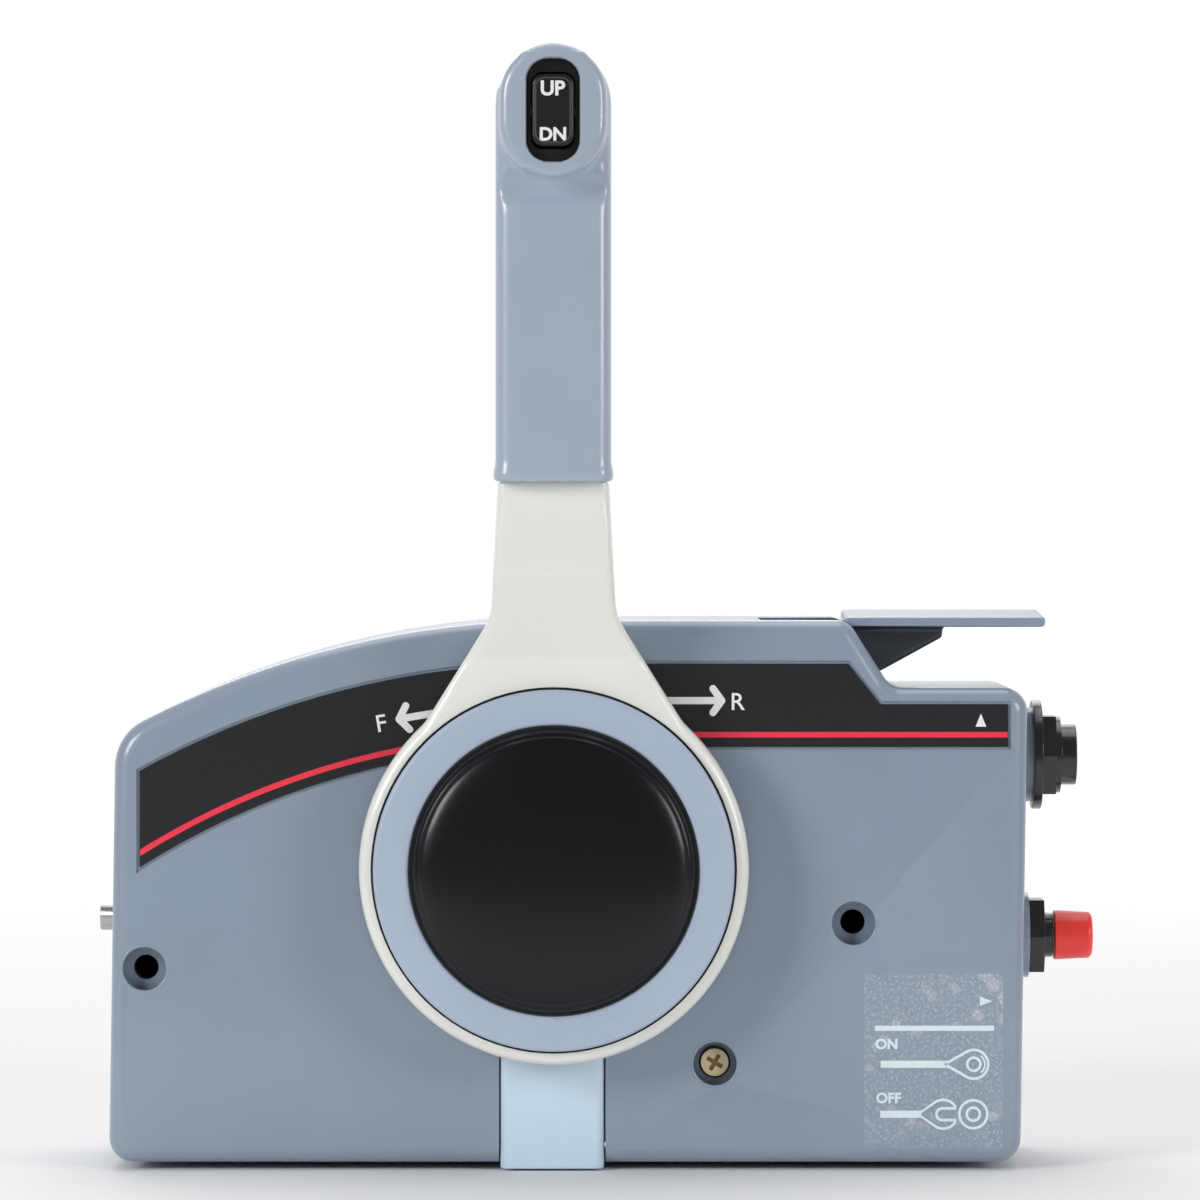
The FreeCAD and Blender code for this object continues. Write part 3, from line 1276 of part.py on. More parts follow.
def make_fast_idle():
    """Thumb lever with its web, the pin that it turns on and the cam on the pin's end."""
    lever = new_body("fast_idle_lever")
    back, width = mm.idle_back, mm.idle_front - mm.idle_back
    pivot = (mm.idle_pivot_x, mm.idle_pivot_z)
    low, high = mm.idle_bottom, mm.idle_bottom + mm.idle_thick
    raise_on(lever, [rectangle(mm.idle_left, mm.idle_right, low, high)], back, width)
    reach = mm.idle_knuckle
    raise_on(lever, [[
        (pivot[0], pivot[1] - reach), (mm.idle_web_foot_x, mm.idle_web_foot_z),
        (mm.idle_web_right, low - mm.idle_web_step), (mm.idle_web_right, low + mm.idle_thick / 2),
        (mm.idle_left, low + mm.idle_thick / 2), (pivot[0] - reach * 3 / 5, pivot[1] + reach * 4 / 5),
    ]], mm.idle_web_back, mm.idle_web_thick)
    raise_on(lever, [Disc(*pivot, reach)], back, width)
    sink_in(lever, [Disc(*pivot, mm.idle_pin_radius + mm.seat_gap)], back, width)
    pin_back = mm.arm_depth
    pin_long = mm.idle_pin_front - pin_back
    turned("fast_idle_shaft", [
        (0, 0), (mm.idle_pin_radius, 0), (mm.idle_pin_radius, pin_long), (0, pin_long),
    ], (mm.idle_pivot_x, pin_back, mm.idle_pivot_z))
    cam = new_body("fast_idle_cam")
    tip = (pivot[0], pivot[1] - mm.idle_cam_long + mm.idle_cam_half)
    half = mm.idle_cam_half
    for shape in (Disc(*pivot, reach), Disc(*tip, half), bar_outline(pivot, tip, half)):
        raise_on(cam, [shape], mm.arm_depth, mm.arm_thick)
    sink_in(cam, [Disc(*pivot, mm.idle_pin_radius + mm.seat_gap)], mm.arm_depth, mm.arm_thick)


def throttle_places():
    """Pivot, peg and cable eye of the throttle arm."""
    x, z = mm.throttle_post_x, mm.throttle_post_z
    peg = (
        mm.idle_pivot_x + mm.idle_cam_half + mm.throttle_peg_gap + mm.throttle_peg_radius,
        mm.idle_pivot_z - mm.idle_cam_long + mm.idle_cam_half,
    )
    return (x, z), peg, (x + mm.throttle_foot_x, z + mm.throttle_foot_z)


def make_throttle_arm():
    """Arm that the fast-idle cam pushes by a peg, with an eye for the throttle cable."""
    pivot, peg, foot = throttle_places()
    half, back, thick = mm.sector_arm_half, mm.throttle_arm_back, mm.throttle_arm_thick
    arm = new_body("throttle_arm")
    shapes = [Disc(*pivot, mm.sector_hub), Disc(*peg, half), Disc(*foot, half)]
    shapes += [bar_outline(pivot, peg, half), bar_outline(pivot, foot, half)]
    for shape in shapes:
        raise_on(arm, [shape], back, thick)
    raise_on(arm, [Disc(*peg, mm.throttle_peg_radius)], mm.arm_depth, back + thick / 2 - mm.arm_depth)
    sink_in(arm, [Disc(*pivot, mm.post_pin_radius + mm.seat_gap)], back, thick)
    sink_in(arm, [Disc(*foot, mm.joint_pin_radius + mm.seat_gap)], back, thick)


def make_post(label, place, seat, thick):
    """Shouldered post in the back cover, and the ring that keeps a piece on it."""
    pin, floor = mm.post_pin_radius, mm.cover_floor + mm.seat_gap
    foot = mm.cover_thick + mm.post_flange_thick + mm.seat_gap
    shoulder = seat - mm.sliding_gap
    ring = seat + thick + mm.sliding_gap
    end = ring + mm.post_ring_thick + mm.cover_gap
    turned(label, [
        (0, floor), (pin, floor), (pin, foot), (mm.post_shoulder, foot), (mm.post_shoulder, shoulder),
        (pin, shoulder), (pin, end), (0, end),
    ], (place[0], 0, place[1]))
    return turned("post_ring", [
        (pin + mm.seat_gap, 0), (mm.post_shoulder, 0),
        (mm.post_shoulder, mm.post_ring_thick), (pin + mm.seat_gap, mm.post_ring_thick),
    ], (place[0], ring, place[1]), kept=False)


def make_posts():
    shift = make_post("shift_post", shift_post_place(), mm.gear_depth, mm.gear_thick)
    throttle = make_post("throttle_post", throttle_places()[0], mm.throttle_arm_back, mm.throttle_arm_thick)
    group("post_rings", [shift, throttle])


def cable_joint(label, place, back, thick):
    """Swivel that holds a cable's end, with its pin through the eye of an arm."""
    head, pin, gap = mm.joint_head_thick, mm.joint_pin_radius, mm.sliding_gap
    block = thick + gap * 2
    end = block + mm.joint_block_long
    joint = turned(label, [
        (0, -head), (mm.joint_head_radius, -head), (mm.joint_head_radius, 0), (pin, 0), (pin, block),
        (mm.joint_radius, block), (mm.joint_radius, end), (0, end),
    ], (place[0], back - gap, place[1]))
    hole = Disc(0, block + mm.joint_block_long / 2, mm.joint_cable_radius)
    sink_in(joint, [hole], -mm.joint_radius, mm.joint_radius * 2, "YZ_Plane")


def make_cable_joints():
    x, z = shift_post_place()
    reach, angle = mm.shift_arm_long, mm.shift_arm_angle
    eye = (x + reach * cosine(angle), z + reach * sine(angle))
    cable_joint("shift_cable_joint", eye, mm.gear_depth, mm.gear_thick)
    cable_joint("throttle_cable_joint", throttle_places()[2], mm.throttle_arm_back, mm.throttle_arm_thick)


def make_neutral_switch():
    """Small switch over the friction disc, on two posts of the housing."""
    body = new_body("neutral_switch")
    back, front = mm.neutral_switch_back, mm.neutral_switch_front
    half, low = mm.neutral_switch_half, mm.neutral_switch_low
    raise_on(body, [rectangle(-half, half, low, mm.neutral_switch_high)], back, front - back)
    roller = mm.neutral_roller_radius
    level = mm.disc_radius + mm.cover_gap + roller
    middle = (back + front) / 2
    raise_on(body, [Disc(0, level, roller)], middle - roller, roller * 2)
    raise_on(body, [rectangle(-roller, roller, level, low + roller)], middle - roller, roller * 2)
    holes = [Disc(x, mm.neutral_switch_z, mm.cover_shank_radius + mm.seat_gap) for x in SWITCH_SCREWS]
    sink_in(body, holes, back, front - back)
    group("neutral_switch_screws", [
        screw("neutral_switch_screw", (x, back, mm.neutral_switch_z), "back", mm.cover_head_radius,
              mm.cover_head_tall, mm.cover_shank_radius, front - back + mm.cover_shank_long / 2)
        for x in SWITCH_SCREWS
    ])


def hex_nut(label, corner, bore, thick, at, facing, collar=None):
    """Six-sided nut, with a round collar on its face where one is named."""
    body = new_body(label, at, facing)
    raise_on(body, [polygon(corner, turn=30.0)], 0, thick)
    if collar:
        raise_on(body, [Disc(0, 0, collar[0])], thick, collar[1])
    sink_in(body, [Disc(0, 0, bore)], 0, thick * 2)
    return body


def make_key_switch():
    """Key switch through the right side, with its washer, nut and turning rotor."""
    at = (mm.key_seat, mm.key_depth, mm.key_level)
    inside = mm.right_side_foot - mm.housing_wall - mm.key_seat
    neck_end = mm.key_washer_thick + mm.key_nut_thick + mm.key_collar_thick
    end = mm.key_barrel_end - mm.key_seat
    floor = end - mm.key_rotor_deep
    socket = mm.key_rotor_radius + mm.sliding_gap
    neck, body_radius, barrel = mm.key_neck_radius, mm.key_body_radius, mm.key_barrel_radius
    turned("ignition_body", [
        (0, inside - mm.key_body_long), (body_radius, inside - mm.key_body_long), (body_radius, inside),
        (neck, inside), (neck, neck_end), (barrel, neck_end), (barrel, end), (socket, end), (socket, floor),
        (0, floor),
    ], at, "right")
    tube("ignition_washer", neck + mm.sliding_gap, mm.key_washer_radius, mm.key_washer_thick, at, "right")
    nut_at = (mm.key_seat + mm.key_washer_thick, mm.key_depth, mm.key_level)
    hex_nut("ignition_nut", mm.key_nut_corner, neck + mm.seat_gap, mm.key_nut_thick, nut_at, "right",
            (mm.key_collar_radius, mm.key_collar_thick))
    rotor = turned("ignition_rotor", [
        (0, floor + mm.seat_gap), (mm.key_rotor_radius, floor + mm.seat_gap),
        (mm.key_rotor_radius, end - mm.cover_gap), (0, end - mm.cover_gap),
    ], at, "right")
    slot = rectangle(-mm.key_slot_long, mm.key_slot_long, -mm.key_slot_half, mm.key_slot_half)
    sink_in(rotor, [slot], floor + mm.key_rotor_deep / 3, end)


def make_stop_switch():
    """Stop switch through the right side, with its nut, and the red knob on its plunger."""
    at = (mm.stop_seat, mm.key_depth, mm.stop_level)
    inside = mm.right_side_foot - mm.housing_wall - mm.stop_seat
    neck, end = mm.stop_neck_radius, mm.stop_neck_end - mm.stop_seat
    room = mm.stop_plunger_radius + mm.seat_gap
    turned("stop_switch_body", [
        (0, inside - mm.stop_body_long), (mm.stop_body_radius, inside - mm.stop_body_long),
        (mm.stop_body_radius, inside), (neck, inside), (neck, end), (room, end),
        (room, end - mm.stop_plunger_deep), (0, end - mm.stop_plunger_deep),
    ], at, "right")
    hex_nut("stop_switch_nut", mm.stop_nut_corner, neck + mm.seat_gap, mm.stop_nut_thick, at, "right")
    foot = end + mm.stop_knob_gap
    top, radius, edge = mm.stop_knob_end - mm.stop_seat, mm.stop_knob_radius, mm.stop_knob_edge
    turned("stop_knob", [
        (0, foot), (radius, foot), (radius - mm.stop_knob_flare, top - edge, edge),
        (radius - mm.stop_knob_flare - edge, top), (0, top),
    ], at, "right")
    plunger = mm.stop_plunger_radius
    low = end - mm.stop_plunger_deep / 2
    turned("stop_plunger", [(0, low), (plunger, low), (plunger, foot), (0, foot)], at, "right")


def make_friction_drag():
    """Adjusting screw through the left side, and the pad that it presses to the disc."""
    start = mm.pad_back + mm.seat_gap
    inner = mm.left_side_top - mm.housing_wall / 2 - mm.friction_boss_long - mm.sliding_gap - start
    radius, head, end = mm.friction_radius, mm.friction_head_radius, mm.friction_tip - start
    collar = inner - mm.friction_head_tall
    drag = turned("friction_screw", [
        (0, 0), (radius, 0), (radius, collar), (head, collar),
        (head, inner), (radius, inner), (radius, end), (0, end),
    ], (-start, mm.friction_depth, mm.friction_level), "left")
    slot = mm.slot_wide / 2
    sink_in(drag, [rectangle(-radius, radius, -slot, slot)], end - mm.slot_deep, mm.slot_deep * 2)
    pad = new_body("friction_pad")
    level, half = mm.friction_level, mm.pad_half
    block = rectangle(-mm.pad_back, -mm.pad_tip, level - half, level + half)
    raise_on(pad, [block], mm.disc_depth, mm.disc_thick)
    sink_in(pad, [Disc(0, 0, mm.disc_radius + mm.pad_gap)], mm.disc_depth, mm.disc_thick)


def check_and_export():
    """Stop if anything failed to build, and otherwise write one file for each sub-part."""
    doc.recompute()
    failed = [item.Label for item in doc.Objects if {"Invalid", "Error"} & set(item.State)]
    failed += [item.Label for item in PARTS if item.Shape.isNull() or not item.Shape.isValid()]
    if failed:
        raise RuntimeError("These did not build: " + ", ".join(failed))
    os.makedirs("parts", exist_ok=True)
    for item in PARTS:
        item.Shape.exportStep(os.path.join("parts", item.Label + ".step"))
    print(len(PARTS), "sub-parts written")


for make in (
    make_front_housing, make_back_cover, make_front_trim, make_housing_fasteners, make_shaft, make_gears,
    make_lever, make_grip, make_trim_switch, make_neutral_lock, make_neutral_switch, make_fast_idle,
    make_throttle_arm, make_posts, make_cable_joints, make_key_switch, make_stop_switch, make_friction_drag,
):
    make()
check_and_export()
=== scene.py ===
import json
import logging
import math
from dataclasses import dataclass
from enum import Enum
from functools import cache
from typing import Callable, Optional, Sequence

import bmesh
import bpy
from bmesh.types import BMesh, BMVert
from mathutils import Matrix, Vector

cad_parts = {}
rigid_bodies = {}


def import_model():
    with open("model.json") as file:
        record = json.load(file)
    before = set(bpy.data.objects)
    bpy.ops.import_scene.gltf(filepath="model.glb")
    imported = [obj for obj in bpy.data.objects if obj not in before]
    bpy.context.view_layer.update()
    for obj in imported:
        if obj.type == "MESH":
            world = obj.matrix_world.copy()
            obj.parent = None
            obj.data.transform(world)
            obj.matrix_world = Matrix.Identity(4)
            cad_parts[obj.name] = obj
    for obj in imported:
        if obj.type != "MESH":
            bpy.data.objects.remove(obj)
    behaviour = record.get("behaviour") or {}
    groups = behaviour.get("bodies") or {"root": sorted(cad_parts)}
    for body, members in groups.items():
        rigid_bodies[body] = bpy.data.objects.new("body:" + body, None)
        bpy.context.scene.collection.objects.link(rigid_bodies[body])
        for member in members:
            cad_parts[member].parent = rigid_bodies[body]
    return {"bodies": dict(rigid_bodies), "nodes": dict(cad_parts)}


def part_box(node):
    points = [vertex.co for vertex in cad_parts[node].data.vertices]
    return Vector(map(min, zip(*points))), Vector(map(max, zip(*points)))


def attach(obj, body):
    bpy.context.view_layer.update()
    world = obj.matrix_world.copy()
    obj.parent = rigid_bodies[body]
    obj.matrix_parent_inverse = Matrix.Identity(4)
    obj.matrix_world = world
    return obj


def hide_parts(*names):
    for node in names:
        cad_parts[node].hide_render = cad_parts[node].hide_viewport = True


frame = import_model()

# Boat throttle control box with a side lever, dressed for a picture. Lengths are in metres.
# X is to the right, Z is up, and the front looks along -Y. A depth is -Y.

log = logging.getLogger("throttle_control")

Colour = tuple[float, float, float]
Point = tuple[float, float]
Triple = tuple[float, float, float]
MM = 0.001
FRONT = Vector((0.0, -1.0, 0.0))


class Body(str, Enum):
    """Groups of pieces that move as one."""

    HOUSING = "housing"
    LEVER = "lever"
    ROCKER = "rocker"
    TRIGGER = "trigger"
    FAST_IDLE = "fast_idle"
    KEY_ROTOR = "key_rotor"
    STOP_BUTTON = "stop_button"
    DRAG_SCREW = "drag_screw"


class Slot(str, Enum):
    """Material slots of the record, named beside each new piece."""

    HOUSING = "housing_plastic"
    COVER = "cover_plastic"
    STRIP = "strip_plastic"
    BAND = "band_film"
    LEVER = "lever_paint"
    GRIP = "grip_plastic"
    RING = "ring_plastic"
    CAP = "cap_gloss"
    IDLE = "idle_paint"
    BLACK = "black_plastic"
    BLACK_METAL = "black_metal"
    RED = "red_cap"
    RUBBER = "rubber"
    STEEL = "steel"
    BRASS = "brass"


def linear(red: int, green: int, blue: int) -> Colour:
    """Turn a display colour of 0 to 255 into the scene's linear colour.

    Args:
        red: Red as displayed.
        green: Green as displayed.
        blue: Blue as displayed.

    Returns:
        The same colour in linear light.
    """
    return tuple(
        part / 12.92 if part <= 0.04045 else ((part + 0.055) / 1.055) ** 2.4
        for part in (red / 255, green / 255, blue / 255)
    )


class Value:
    """A number that varies over a surface, written in formulas like any number."""

    def __init__(self, nodes: "Nodes", socket: bpy.types.NodeSocket) -> None:
        """Keep the nodes and the socket that gives the number."""
        self.nodes = nodes
        self.socket = socket

    def _with(self, operation: str, *others: "Value | float") -> "Value":
        """Apply a maths operation to this value and the others."""
        return self.nodes.maths(operation, self, *others)

    def __add__(self, other: "Value | float") -> "Value":
        """Add a number."""
        return self._with("ADD", other)

    def __sub__(self, other: "Value | float") -> "Value":
        """Take a number away."""
        return self._with("SUBTRACT", other)

    def __rsub__(self, other: float) -> "Value":
        """Take this value from a number."""
        return self.nodes.maths("SUBTRACT", other, self)

    def __mul__(self, other: "Value | float") -> "Value":
        """Multiply by a number."""
        return self._with("MULTIPLY", other)

    def __truediv__(self, other: "Value | float") -> "Value":
        """Divide by a number."""
        return self._with("DIVIDE", other)

    def __gt__(self, other: "Value | float") -> "Value":
        """Give 1 where this value is larger, and 0 elsewhere."""
        return self._with("GREATER_THAN", other)

    __radd__ = __add__
    __rmul__ = __mul__

    def clamped(self) -> "Value":
        """Keep the value between 0 and 1."""
        return self._with("MAXIMUM", 0.0)._with("MINIMUM", 1.0)

    def hypot(self, other: "Value") -> "Value":
        """Distance that this value and the other give together, square to each other."""
        return (self * self + other * other)._with("SQRT")


class Nodes:
    """A node tree in the making."""

    def __init__(self, tree: bpy.types.NodeTree) -> None:
        """Keep the tree."""
        self.tree = tree

    def node(self, kind: str, settings: Optional[dict] = None,
             inputs: Optional[dict] = None) -> bpy.types.Node:
        """Add a node.

        Args:
            kind: Type of the node, without its prefix.
            settings: Its own settings, set first.
            inputs: Values or links for its sockets, by name or number.

        Returns:
            The node.
        """
        made = self.tree.nodes.new("ShaderNode" + kind)
        for name, value in (settings or {}).items():
            setattr(made, name, value)
        for name, value in (inputs or {}).items():
            self.link(value, made.inputs[name])
        return made

    def link(self, value: object, socket: bpy.types.NodeSocket) -> None:
        """Feed a socket.

        Args:
            value: A number, a colour, a value or another node's socket.
            socket: The socket that takes it.
        """
        if isinstance(value, Value):
            self.tree.links.new(value.socket, socket)
        elif isinstance(value, bpy.types.NodeSocket):
            self.tree.links.new(value, socket)
        elif socket.type == "RGBA" and len(value) == 3:
            socket.default_value = (*value, 1.0)
        else:
            socket.default_value = value

    def maths(self, operation: str, *numbers: "Value | float") -> Value:
        """Apply a Math node to values or numbers."""
        made = self.node("Math", {"operation": operation}, dict(enumerate(numbers)))
        return Value(self, made.outputs[0])


class Shader(Nodes):
    """The nodes of one material."""

    def __init__(self, name: str) -> None:
        """Start a material with its principled surface.

        Args:
            name: Name of the material.
        """
        self.material = bpy.data.materials.new(name)
        self.material.use_nodes = True
        super().__init__(self.material.node_tree)
        self.surface = self.tree.nodes["Principled BSDF"]

    def place(self) -> bpy.types.NodeSocket:
        """Position on the piece, in metres."""
        return self.node("TexCoord").outputs["Object"]

    def along(self) -> tuple[Value, Value, Value]:
        """Position on the piece as three values."""
        split = self.node("SeparateXYZ", inputs={0: self.place()})
        return tuple(Value(self, split.outputs[number]) for number in range(3))

    def noise(self, size: float, detail: float = 2.0, stretch: Triple = (1.0, 1.0, 1.0)) -> Value:
        """Cloudy pattern from 0 to 1.

        Args:
            size: Width of its patches, in metres.
            detail: How much finer pattern lies in it.
            stretch: Scale along each axis, less than 1 for longer patches.

        Returns:
            The pattern.
        """
        where = self.node("Mapping", inputs={"Vector": self.place(), "Scale": stretch}).outputs[0]
        made = self.node("TexNoise", inputs={"Vector": where, "Scale": 1.0 / size, "Detail": detail})
        return Value(self, made.outputs["Fac"])

    def specks(self, size: float) -> Value:
        """Distance to the nearest of many scattered points, from 0 at each point.

        Args:
            size: Usual distance between the points, in metres.

        Returns:
            The distance, in cells.
        """
        made = self.node("TexVoronoi", inputs={"Vector": self.place(), "Scale": 1.0 / size})
        return Value(self, made.outputs["Distance"])

    def bubbles(self, size: float) -> Value:
        """Round dots of one size in the front plane, for a thin flat film.

        Args:
            size: Usual distance between the dots, in metres.

        Returns:
            The distance to the nearest dot's middle, in cells.
        """
        across, _, up = self.along()
        front = self.node("CombineXYZ", inputs={"X": across, "Y": up})
        made = self.node("TexVoronoi", {"voronoi_dimensions": "2D"},
                         {"Vector": front.outputs[0], "Scale": 1.0 / size})
        return Value(self, made.outputs["Distance"])

    def edges(self, radius: float) -> Value:
        """Mask that is 1 on sharp edges and 0 on flat faces.

        Args:
            radius: How far from an edge the mask reaches, in metres.

        Returns:
            The mask.
        """
        eased = self.node("Bevel", {"samples": 4}, {"Radius": radius}).outputs[0]
        flat = self.node("NewGeometry").outputs["Normal"]
        cosine = self.node("VectorMath", {"operation": "DOT_PRODUCT"}, {0: eased, 1: flat})
        return ((1.0 - Value(self, cosine.outputs["Value"])) * 6.0).clamped()

    def blend(self, mask: "Value | float", first: object, second: object) -> bpy.types.NodeSocket:
        """Mix two colours.

        Args:
            mask: 0 for the first colour, 1 for the second.
            first: Colour or socket.
            second: Colour or socket.

        Returns:
            The mixed colour's socket.
        """
        made = self.node("Mix", {"data_type": "RGBA"}, {0: mask, 6: first, 7: second})
        return made.outputs[2]

    def relief(self, height: Value, depth: float) -> bpy.types.NodeSocket:
        """Bump the surface.

        Args:
            height: Relief from 0 to 1.
            depth: Height of the relief, in metres.

        Returns:
            The normal's socket.
        """
        return self.node("Bump", inputs={"Height": height, "Distance": depth, "Strength": 1.0}).outputs[0]

    def finish(self, **inputs: object) -> bpy.types.Material:
        """Feed the principled surface.

        Args:
            inputs: What its sockets take, by name with underscores.

        Returns:
            The material.
        """
        for name, value in inputs.items():
            self.link(value, self.surface.inputs[name.replace("_", " ")])
        return self.material


@dataclass(frozen=True)
class Finish:
    """How a surface looks."""

    name: str
    colour: Colour
    roughness: float = 0.5

    @cache
    def material(self) -> bpy.types.Material:
        """Build the finish's material once."""
        return self.build(Shader(self.name))

    def shaded(self, factor: float, added: float = 0.0) -> Colour:
        """The finish's colour, darker or lighter."""
        return tuple(min(1.0, part * factor + added) for part in self.colour)

    def build(self, shader: Shader) -> bpy.types.Material:
        """Dress a shader with this finish."""
        raise NotImplementedError


@dataclass(frozen=True)
class Moulded(Finish):
    """Moulded plastic with a fine spark-eroded grain and slightly uneven colour."""

    grain: float = 0.35 * MM
    grain_depth: float = 0.012 * MM
    uneven: float = 0.06
    coat: float = 0.0
    coat_roughness: float = 0.12

    def build(self, shader: Shader) -> bpy.types.Material:
        """Grain from fine noise, cloudy colour, and edges rubbed a little smoother and lighter.

        Args:
            shader: Shader of the new material.

        Returns:
            The material.
        """
        cloud = shader.noise(22 * MM, 3.0)
        fine = shader.noise(self.grain, 3.0)
        worn = shader.edges(0.5 * MM)
        even = shader.blend(cloud, self.shaded(1.0 - self.uneven), self.shaded(1.0 + self.uneven))
        return shader.finish(
            Base_Color=shader.blend(worn * 0.4, even, self.shaded(1.25, 0.02)),
            Roughness=(self.roughness + (fine - 0.5) * 0.16 - worn * 0.08).clamped(),
            Normal=shader.relief(fine, self.grain_depth),
            Coat_Weight=self.coat,
            Coat_Roughness=self.coat_roughness,
        )


@dataclass(frozen=True)
class Gloss(Finish):
    """Polished plastic or lacquer with faint waviness, dust and smears."""

    dust: float = 0.06
    wave_depth: float = 0.006 * MM
    coat: float = 0.5
    coat_roughness: float = 0.04
    shine: float = 0.5

    def build(self, shader: Shader) -> bpy.types.Material:
        """Smooth coat over the colour, dulled by a few specks of dust.

        Args:
            shader: Shader of the new material.

        Returns:
            The material.
        """
        wave = shader.noise(9 * MM, 1.0)
        dust = (0.055 - shader.specks(1.6 * MM)) > 0.0
        smear = shader.noise(14 * MM, 4.0, (1.0, 1.0, 0.35))
        return shader.finish(
            Base_Color=shader.blend(dust * self.dust, self.colour, self.shaded(1.0, 0.12)),
            Roughness=(self.roughness + smear * 0.05 + dust * 0.2).clamped(),
            Normal=shader.relief(wave, self.wave_depth),
            Specular_IOR_Level=self.shine,
            Coat_Weight=self.coat,
            Coat_Roughness=self.coat_roughness,
        )


@dataclass(frozen=True)
class Painted(Finish):
    """Sprayed paint on a casting, with orange peel and chips along the edges."""

    peel_depth: float = 0.010 * MM
    bare: Colour = (0.35, 0.35, 0.34)
    chipped: float = 0.3
    # Height below which the paint gets painted shade.
    shade_painted_below: Optional[float] = None

    def build(self, shader: Shader) -> bpy.types.Material:
        """Orange peel relief under satin paint that is thinner along the edges.

        Args:
            shader: Shader of the new material.

        Returns:
            The material.
        """
        peel = shader.noise(1.1 * MM, 1.5)
        cloud = shader.noise(30 * MM, 3.0)
        patchy = shader.noise(1.8 * MM, 3.0)
        worn = shader.edges(0.35 * MM)
        chips = (worn * patchy - (0.86 - self.chipped * 0.4)) > 0.0
        paint = shader.blend(cloud, self.shaded(0.93), self.colour)
        # Painted shade: below this height the web under the thumb plate is darkened to the tone of its
        # shadow.
        if self.shade_painted_below is not None:
            below = (self.shade_painted_below - shader.along()[2]) > 0.0
            paint = shader.blend(below, paint, self.shaded(0.16))
        thin = shader.blend(worn * 0.25, paint, self.shaded(0.8))
        return shader.finish(
            Base_Color=shader.blend(chips * self.chipped, thin, self.bare),
            Roughness=(self.roughness + (peel - 0.5) * 0.08 + cloud * 0.05).clamped(),
            Normal=shader.relief(peel, self.peel_depth),
            Coat_Weight=0.5,
            Coat_Roughness=0.14,
        )


class Lay(Enum):
    """Which way a metal's machining marks run."""

    NONE = 0
    ROUND = 1
    ALONG_DEPTH = 2


@dataclass(frozen=True)
class Metal(Finish):
    """Bare or plated metal with fine machining marks."""

    lay: Lay = Lay.NONE
    mark_depth: float = 0.004 * MM
    metallic: float = 1.0
    # Depth below which the colour gets painted shade, for a screw's cross recess.
    recess_shade_from: Optional[float] = None

    def build(self, shader: Shader) -> bpy.types.Material:
        """Streaked roughness and relief, with darker tarnish in clouds.

        Args:
            shader: Shader of the new material.

        Returns:
            The material.
        """
        stretch = {
            Lay.NONE: (1.0, 1.0, 1.0),
            Lay.ROUND: (0.08, 1.0, 0.08),
            Lay.ALONG_DEPTH: (1.0, 0.05, 1.0),
        }
        marks = shader.noise(0.25 * MM, 3.0, stretch[self.lay])
        tarnish = shader.noise(5 * MM, 4.0)
        colour = shader.blend((tarnish * 1.6 - 0.5).clamped(), self.colour, self.shaded(0.72))
        # Painted shade: the sunk cross recess is darkened as if in shadow.
        if self.recess_shade_from is not None:
            sunk = (self.recess_shade_from + shader.along()[1]) > 0.0
            colour = shader.blend(sunk, colour, tuple(part * part * 0.35 for part in self.colour))
        return shader.finish(
            Base_Color=colour,
            Metallic=self.metallic,
            Roughness=(self.roughness + (marks - 0.5) * 0.18 + tarnish * 0.08).clamped(),
            Normal=shader.relief(marks, self.mark_depth),
        )


@dataclass(frozen=True)
class Bore(Finish):
    """Hole whose mouth shows a bright thread, and whose depth has painted shade that turns it black.

    Attributes:
        mouth: How far the mouth stands in front of the mounting face.
        reach: How far in the painted light reaches on the thread.
        pitch: Distance between the thread's crests.
    """

    mouth: float = 50 * MM
    reach: float = 7 * MM
    pitch: float = 0.8 * MM

    def build(self, shader: Shader) -> bpy.types.Material:
        """Threaded metal that fades into matt black, as painted shade deeper in and between the crests.

        Args:
            shader: Shader of the new material.

        Returns:
            The material.
        """
        sunk = shader.along()[1] + self.mouth
        # Painted shade: the bore turns black with depth and between the thread's crests; only the crests by
        # the mouth stay lit metal.
        near = (1.0 - sunk / self.reach).clamped()
        thread = shader.maths("COSINE", sunk * (math.tau / self.pitch)) * 0.5 + 0.5
        painted_lit_crest = near * thread
        return shader.finish(
            Base_Color=shader.blend(painted_lit_crest, (0.004, 0.004, 0.005), self.colour),
            Metallic=painted_lit_crest,
            Roughness=(1.0 - painted_lit_crest * (1.0 - self.roughness)).clamped(),
            Normal=shader.relief(thread, 0.2 * MM),
            Specular_IOR_Level=0.1,
        )


@dataclass(frozen=True)
class Ink(Finish):
    """Screen-printed ink with a fine tooth and slightly uneven colour."""

    def build(self, shader: Shader) -> bpy.types.Material:
        """Nearly even colour with a fine tooth.

        Args:
            shader: Shader of the new material.

        Returns:
            The material.
        """
        tooth = shader.noise(0.18 * MM, 2.0)
        return shader.finish(
            Base_Color=shader.blend(shader.noise(4 * MM, 3.0), self.colour, self.shaded(0.9)),
            Roughness=(self.roughness + (tooth - 0.5) * 0.1).clamped(),
            Normal=shader.relief(tooth, 0.004 * MM),
        )


